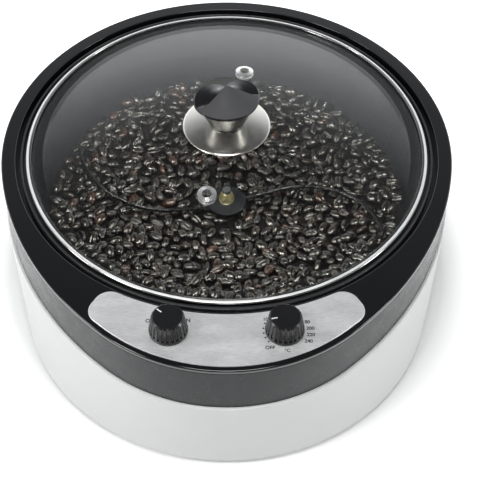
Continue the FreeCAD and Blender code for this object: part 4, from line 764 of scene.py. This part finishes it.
def lobed_cap():
    """Moulded cap: a matt front lobe that falls straight from the peak, painted lighter for the
    light that falls on it, and two glossy dished lobes behind it with a crisp fold between."""
    rim = cap_rim()
    count = len(rim)
    rings = [(share, [crown_height(share, turn) for _, turn in rim]) for share in CROWN_SHARES]
    rings += [(1.0, [petal_rim(turn) - CAP_BEVEL for _, turn in rim]),
              (1.0, [0.3] * count), (0.97, [0.0] * count), (0.6, [0.0] * count)]
    points = [(p.x * share * MM, AXIS_Y + p.y * share * MM, CAP_LOW + height * MM)
              for share, heights in rings for (p, _), height in zip(rim, heights)]
    faces = []
    matt = []
    for row in range(len(rings) - 1):
        start = CREASE_ANGLES[1] + FRONT_BOW * math.sin(math.pi * rings[row][0])
        for k in range(count):
            a, b = row * count + k, row * count + (k + 1) % count
            faces.append((a, b, b + count, a + count))
            matt.append(row < len(CROWN_SHARES) - 1
                        and start < rim[k][1] < CREASE_ANGLES[2] - LIT_FACE_MARGIN)
    faces += [tuple(range(count)), tuple(range((len(rings) - 1) * count, len(rings) * count))]
    piece = mesh_piece("lobed_cap", points, faces, FINISHES["cap_black"], "lid", 24)
    # The matt front lobe takes the lighter copy: painted light.
    piece.data.materials.append(CAP_MATT_PAINTED_LIGHT)
    for side, is_lit_matt in zip(piece.data.polygons, matt):
        side.material_index = int(is_lit_matt)
    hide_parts("knob_cap")


# ---- the beans in the pan ----

BEAN_LENGTH = 5.7             # half of it, as the other two
BEAN_WIDTH = 3.8
BEAN_BACK = 2.8
BEAN_FLAT = 2.0
BEAN_EDGE = 1.35
BEAN_CLEFT = 1.0              # depth of the cleft
CLEFT_BOW = 0.45              # how far the cleft swings to either side
CLEFT_SHADE_SHARE = 0.25             # share of the cleft's painted shade on its shoulders
BEAN_BLUNTNESS = 2.3          # 2 would be a plain ellipse
BEAN_STATIONS = 10
BEAN_HEIGHT = 2.4             # half the height that a lying bean takes up
BEAN_PACKING = 0.88           # how much closer beans nest than their ovals would
BEAN_ROOM = 6.0               # no bean reaches further from its middle
BEAN_END = 3.2                # how near to its middle a bean may meet the wall
BEAN_SIZES = (0.88, 1.08)
BEAN_STRETCH = (0.94, 1.06)   # each bean's own length, width and height
BEAN_PITCH = 0.28             # spread of the beans' tilt, in radians
BEAN_ROLL = 0.55
FLAT_SIDE_DOWN = 0.55         # share of the beans that lie on their flat side
DARK_BEANS = 0.95             # share of the beans
DARK_TONES = (0, 0.88)
LIGHT_TONES = (0.9, 1.0)
HEAP_RADIUS = 132.0
HEAP_DEPTH = 8.0
HEAP_CROWN_GAP = 0.35         # beans stay this far below heap_top
HEAP_BORE = 10.0              # clear round the stirrer's hub
HEAP_WALL_GAP = 4.6           # between the wall and the nearest bean's middle
WIRE_RISE_ENDS = 108.0        # the wires rise up to this radius and run nearly level beyond
DROP_STEP = 0.75              # width of one cell of the height map
DROP_HALF = 140.0
DROP_TRIES = 9
DROP_FAILS = 160              # drops that find no room before the pan counts as full
MOST_BEANS = 2600
UNEVENNESS = 0.15             # of the bed that the beans drop on
BED_RINGS = 40
BED_SPOKES = 180
BED_LUMPS = 0.9
NOWHERE = -99


def heap_top(r):
    """Highest the beans may lie, just under the sweep of the stirrer's wires (mm over the pan)."""
    return (3.3 + 0.142 * np.minimum(r, WIRE_RISE_ENDS)
            + 0.02 * np.maximum(r - WIRE_RISE_ENDS, 0))


def heap_bed(r):
    return np.maximum(0.2, heap_top(r) - HEAP_DEPTH)


def bean_shape():
    """Half egg with a curved cleft along its flat side: points, faces, and the painted shade of the
    cleft at each point.
    """
    back = [(math.cos(math.radians(a)), math.sin(math.radians(a)) * BEAN_BACK)
            for a in range(0, 181, 30)]
    flat = [(-0.82, -BEAN_EDGE), (-0.36, -BEAN_FLAT), (-0.12, -BEAN_FLAT + 0.12),
            (0.0, -BEAN_FLAT + BEAN_CLEFT), (0.12, -BEAN_FLAT + 0.12), (0.36, -BEAN_FLAT),
            (0.82, -BEAN_EDGE)]
    outline = back + flat
    deep = len(back) + 3
    count = len(outline)
    stations = np.sin(np.linspace(-math.pi / 2, math.pi / 2, BEAN_STATIONS))[1:-1]
    points = [(-BEAN_LENGTH, 0, 0)]
    cleft_shading = [0.0]
    for t in stations:
        share = (1 - abs(t) ** BEAN_BLUNTNESS) ** 0.5
        bow = CLEFT_BOW * math.sin(math.pi * t) * share
        for k, (y, z) in enumerate(outline):
            bend = bow if len(back) + 1 <= k <= len(back) + 5 else 0.0
            points.append((t * BEAN_LENGTH, y * BEAN_WIDTH * share + bend, z * share))
            # Painted shade: full at the cleft's bottom, a share on its shoulders.
            cleft_shading.append(1.0 if k == deep else (CLEFT_SHADE_SHARE if abs(k - deep) == 1 else 0.0))
    points.append((BEAN_LENGTH, 0, 0))
    cleft_shading.append(0.0)
    rows = len(stations)
    faces = [(0, 1 + (k + 1) % count, 1 + k) for k in range(count)]
    for row in range(rows - 1):
        for k in range(count):
            a = 1 + row * count + k
            b = 1 + row * count + (k + 1) % count
            faces.append((a, b, b + count, a + count))
    last = 1 + (rows - 1) * count
    end = last + count
    faces += [(end, last + k, last + (k + 1) % count) for k in range(count)]
    return np.array(points), faces, np.array(cleft_shading)


def turn_matrix(yaw, pitch, roll):
    return np.array(Matrix.Rotation(yaw, 3, "Z") @ Matrix.Rotation(pitch, 3, "Y")
                    @ Matrix.Rotation(roll, 3, "X"))


def cells_over_pan():
    """Distance of each cell over the pan from the axis, and the number of cells to a side."""
    half = int(DROP_HALF / DROP_STEP)
    axis = (np.arange(2 * half + 1) - half) * DROP_STEP
    return np.hypot(*np.meshgrid(axis, axis, indexing="ij")), half


def random_pose(rng):
    """Place, size and turn of one bean: most lie flat, on either side."""
    r = math.sqrt(rng.uniform(HEAP_BORE ** 2, (HEAP_RADIUS - HEAP_WALL_GAP) ** 2))
    angle = rng.uniform(0, 2 * math.pi)
    size = rng.uniform(*BEAN_SIZES)
    side = 0.0 if rng.uniform() < FLAT_SIDE_DOWN else math.pi
    turn = turn_matrix(rng.uniform(0, 2 * math.pi), rng.normal(0, BEAN_PITCH),
                       side + rng.normal(0, BEAN_ROLL))
    return r, angle, size, turn


def oval(size, turn, lx, ly):
    """Cells that the bean's oval covers, and its underside and top over each."""
    axes = np.array((BEAN_LENGTH, BEAN_WIDTH, BEAN_HEIGHT)) * size * BEAN_PACKING
    form = turn @ np.diag(1 / axes ** 2) @ turn.T
    cross = form[0, 2] * lx + form[1, 2] * ly
    rest = form[0, 0] * lx ** 2 + 2 * form[0, 1] * lx * ly + form[1, 1] * ly ** 2 - 1
    root = cross ** 2 - form[2, 2] * rest
    inside = root > 0
    depth = np.sqrt(np.where(inside, root, 0))
    return inside, (-cross - depth) / form[2, 2], (-cross + depth) / form[2, 2]


def drop_beans():
    """Drops beans one by one to where each rests lowest, until they fill the pan to heap_top."""
    rng = np.random.default_rng(11)
    reach, half = cells_over_pan()
    height = heap_bed(reach) + rng.normal(0, UNEVENNESS, reach.shape)
    span = int(BEAN_ROOM / DROP_STEP)
    local = np.arange(-span, span + 1) * DROP_STEP
    lx, ly = np.meshgrid(local, local, indexing="ij")
    beans = []
    fails = 0
    while fails < DROP_FAILS and len(beans) < MOST_BEANS:
        best = None
        for _ in range(DROP_TRIES):
            r, angle, size, turn = random_pose(rng)
            i = int(round(r * math.cos(angle) / DROP_STEP)) + half
            j = int(round(r * math.sin(angle) / DROP_STEP)) + half
            window = (slice(i - span, i + span + 1), slice(j - span, j + span + 1))
            inside, under, over = oval(size, turn, lx, ly)
            level = float(np.max(np.where(inside, height[window] - under, NOWHERE)))
            score = level - float(heap_top(np.array(r)))
            if r + np.max(np.abs(turn[:2, 0])) * BEAN_END * size > HEAP_RADIUS:
                continue
            if best is None or score < best[0]:
                place = ((i - half) * DROP_STEP, (j - half) * DROP_STEP, level)
                best = (score, place, window, size, turn, inside, over)
        if best is None:
            continue
        _, place, window, size, turn, inside, over = best
        crown = np.where(inside, place[2] + over - heap_top(reach[window]), NOWHERE)
        if float(np.max(crown)) > -HEAP_CROWN_GAP:
            fails += 1
            continue
        fails = 0
        patch = height[window]
        patch[inside] = np.maximum(patch[inside], (place[2] + over)[inside])
        tone = rng.uniform(*(DARK_TONES if rng.uniform() < DARK_BEANS else LIGHT_TONES))
        beans.append((place, size, turn, tone))
    return beans


def bean_bed():
    """A lumpy near-black sheet where the beans further down would lie: painted shade that shows
    only in the gaps.
    """
    rng = np.random.default_rng(3)
    count = BED_SPOKES
    angles = np.arange(count) * 2 * math.pi / count
    points = []
    for r in np.linspace(HEAP_BORE + 0.5, HEAP_RADIUS - 0.6, BED_RINGS):
        lift = np.maximum(0.15, heap_bed(r) + rng.uniform(-BED_LUMPS, BED_LUMPS, count))
        points.append(np.stack((r * np.cos(angles), r * np.sin(angles), lift), axis=1))
    faces = [(row * count + k, (row + 1) * count + k, (row + 1) * count + (k + 1) % count,
              row * count + (k + 1) % count)
             for row in range(BED_RINGS - 1) for k in range(count)]
    return np.concatenate(points), faces


def heap_of_beans():
    """All beans and the bed below them as one piece."""
    form, sides, cleft_shading = bean_shape()
    rng = np.random.default_rng(5)
    points, faces = bean_bed()
    bed_faces = len(faces)
    layers, tones, cleft_shades = [points], [np.zeros(len(points))], [np.zeros(len(points))]
    start = len(points)
    for place, size, turn, tone in drop_beans():
        bean = form * rng.uniform(*BEAN_STRETCH, 3) * size
        layers.append(bean @ turn.T + place)
        tones.append(np.full(len(form), tone))
        cleft_shades.append(cleft_shading)
        faces += [tuple(n + start for n in side) for side in sides]
        start += len(form)
    places = np.concatenate(layers) * MM + (0, AXIS_Y, PAN_FLOOR)
    mesh = bpy.data.meshes.new("roasting_beans")
    mesh.from_pydata(places.tolist(), [], faces)
    # The groove attribute carries the painted shade of each cleft.
    for name, values in (("tone", tones), ("groove", cleft_shades)):
        attribute = mesh.attributes.new(name, "FLOAT", "POINT")
        attribute.data.foreach_set("value", np.concatenate(values).astype(np.float32))
    mesh.materials.append(FINISHES["roasted_bean"])
    mesh.materials.append(BEAN_SHADE)
    kinds = np.zeros(len(faces), dtype=np.int32)
    kinds[:bed_faces] = 1
    mesh.polygons.foreach_set("material_index", kinds)
    mesh.update()
    mesh.shade_smooth()
    thing = bpy.data.objects.new("roasting_beans", mesh)
    bpy.context.collection.objects.link(thing)
    bpy.context.view_layer.update()
    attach(thing, "case")


# ---- stage, light and camera ----

FLOOR_HALF = 3.0
FLOOR_STEPS = 12
FLOOR_SHADE = 0.93
GLOW_START = 0.165            # the floor keeps its shadow up to here, in metres from the middle
GLOW_FULL = 0.215
GLOW = 0.8


def floor_material():
    """Matt near-white; it glows a little for what looks at it, but not close to the roaster."""
    material = bpy.data.materials.new("floor")
    material.use_nodes = True
    tree = material.node_tree
    shader = tree.nodes["Principled BSDF"]
    shader.inputs["Base Color"].default_value = (FLOOR_SHADE, FLOOR_SHADE, FLOOR_SHADE, 1)
    shader.inputs["Roughness"].default_value = 0.9
    shader.inputs["Specular IOR Level"].default_value = 0.1
    shader.inputs["Emission Color"].default_value = (1, 1, 1, 1)
    path = tree.nodes.new("ShaderNodeLightPath").outputs
    mirrored = combined(tree, "MAXIMUM", path["Is Glossy Ray"], path["Is Transmission Ray"])
    looking = combined(tree, "MAXIMUM", path["Is Camera Ray"], mirrored)
    away = tree.nodes.new("ShaderNodeVectorMath")
    away.operation = "LENGTH"
    place = tree.nodes.new("ShaderNodeTexCoord")
    tree.links.new(place.outputs["Object"], away.inputs[0])
    far = remapped(tree, away.outputs["Value"], GLOW_START, GLOW_FULL, 0.0, GLOW)
    tree.links.new(combined(tree, "MULTIPLY", looking, far), shader.inputs["Emission Strength"])
    return material


def floor():
    row = FLOOR_STEPS + 1
    along = [2 * FLOOR_HALF * i / FLOOR_STEPS - FLOOR_HALF for i in range(row)]
    points = [(x, y, 0) for x in along for y in along]
    faces = [(i * row + j, (i + 1) * row + j, (i + 1) * row + j + 1, i * row + j + 1)
             for i in range(FLOOR_STEPS) for j in range(FLOOR_STEPS)]
    mesh = bpy.data.meshes.new("floor")
    mesh.from_pydata(points, [], faces)
    mesh.materials.append(floor_material())
    thing = bpy.data.objects.new("floor", mesh)
    bpy.context.collection.objects.link(thing)


LID_AIM = (0, 0, 0.08)
CASE_AIM = (0, 0, 0.10)


def lamp(name, place, aim, size, watts):
    """Square soft lamp; place and size in metres."""
    light = bpy.data.lights.new(name, "AREA")
    light.shape = "SQUARE"
    light.size = size
    light.energy = watts
    thing = bpy.data.objects.new(name, light)
    thing.location = place
    thing.rotation_euler = (Vector(aim) - Vector(place)).to_track_quat("-Z", "Y").to_euler()
    bpy.context.collection.objects.link(thing)


FRONT_DIM = 0.15              # brightness of the surround straight in front
FAR_GLOW = 0.40               # how much brighter it is at the far side
OVERHEAD = (0.04, 0.04, 0.041, 1)


def studio():
    """Surround that is white near the horizon and dark overhead, darker towards the front and
    brightest at the far side, but plain white where it is looked at; with soft lamps above,
    on both sides and in front."""
    world = bpy.data.worlds.new("studio")
    bpy.context.scene.world = world
    world.use_nodes = True
    tree = world.node_tree
    where = tree.nodes.new("ShaderNodeTexCoord")
    split = tree.nodes.new("ShaderNodeSeparateXYZ")
    tree.links.new(where.outputs["Generated"], split.inputs[0])
    ramp = tree.nodes.new("ShaderNodeValToRGB")
    stops = ramp.color_ramp.elements
    stops[0].position = 0.0
    stops[0].color = (1, 1, 1, 1)
    stops[1].position = 1.0
    stops[1].color = OVERHEAD
    for position, level in ((0.34, 1.0), (0.53, 0.60), (0.68, 0.20), (0.83, 0.06)):
        stops.new(position).color = (level * 0.965, level, level * 1.025, 1)
    tree.links.new(split.outputs["Z"], ramp.inputs["Fac"])
    front = remapped(tree, split.outputs["Y"], -0.9, -0.2, FRONT_DIM, 1.0)
    far = remapped(tree, split.outputs["Y"], 0.35, 0.85, 0.0, FAR_GLOW)
    seen = tree.nodes.new("ShaderNodeLightPath").outputs["Is Camera Ray"]
    strength = combined(tree, "MAXIMUM", combined(tree, "ADD", front, far), seen)
    plain = tree.nodes.new("ShaderNodeMix")
    plain.data_type = "RGBA"
    plain.inputs["B"].default_value = (1, 1, 1, 1)
    tree.links.new(seen, plain.inputs["Factor"])
    tree.links.new(ramp.outputs["Color"], plain.inputs["A"])
    back = tree.nodes["Background"]
    tree.links.new(plain.outputs["Result"], back.inputs["Color"])
    tree.links.new(strength, back.inputs["Strength"])
    lamp("top", (0.0, -0.48, 2.0), LID_AIM, 0.8, 15.0)
    lamp("key", (-1.10, -0.60, 1.5), LID_AIM, 0.4, 8.0)
    lamp("left", (-1.35, -0.34, 0.80), CASE_AIM, 0.3, 3.0)
    lamp("right", (1.35, -0.34, 0.80), CASE_AIM, 0.3, 3.5)
    lamp("front", (0.0, -1.4, 1.2), LID_AIM, 0.22, 0.8)


CAMERA_DISTANCE = 0.5784      # in front of the lid's axis, in metres
CAMERA_HEIGHT = 0.690
CAMERA_TILT = 39.78           # from straight down, in degrees
CAMERA_LENS = 82.87
CAMERA_SHIFT = 0.0468


def camera():
    data = bpy.data.cameras.new("camera")
    data.sensor_width = 36.0
    data.lens = CAMERA_LENS
    data.shift_x = CAMERA_SHIFT
    data.clip_start = 0.01
    thing = bpy.data.objects.new("camera", data)
    thing.location = (0.0, AXIS_Y - CAMERA_DISTANCE, CAMERA_HEIGHT)
    thing.rotation_euler = (math.radians(CAMERA_TILT), 0, 0)
    bpy.context.collection.objects.link(thing)
    bpy.context.scene.camera = thing


dress_solids()
lettering()
pointer("power_pointer", POWER, POWER_REST, "power_control")
pointer("thermostat_pointer", THERMO, THERMO_REST, "thermostat_control")
flared_shell()
deep_band()
rolled_rim()
polished_cone()
domed_seat()
lobed_cap()
heap_of_beans()
floor()
studio()
camera()
bpy.context.scene.view_settings.view_transform = "Standard"
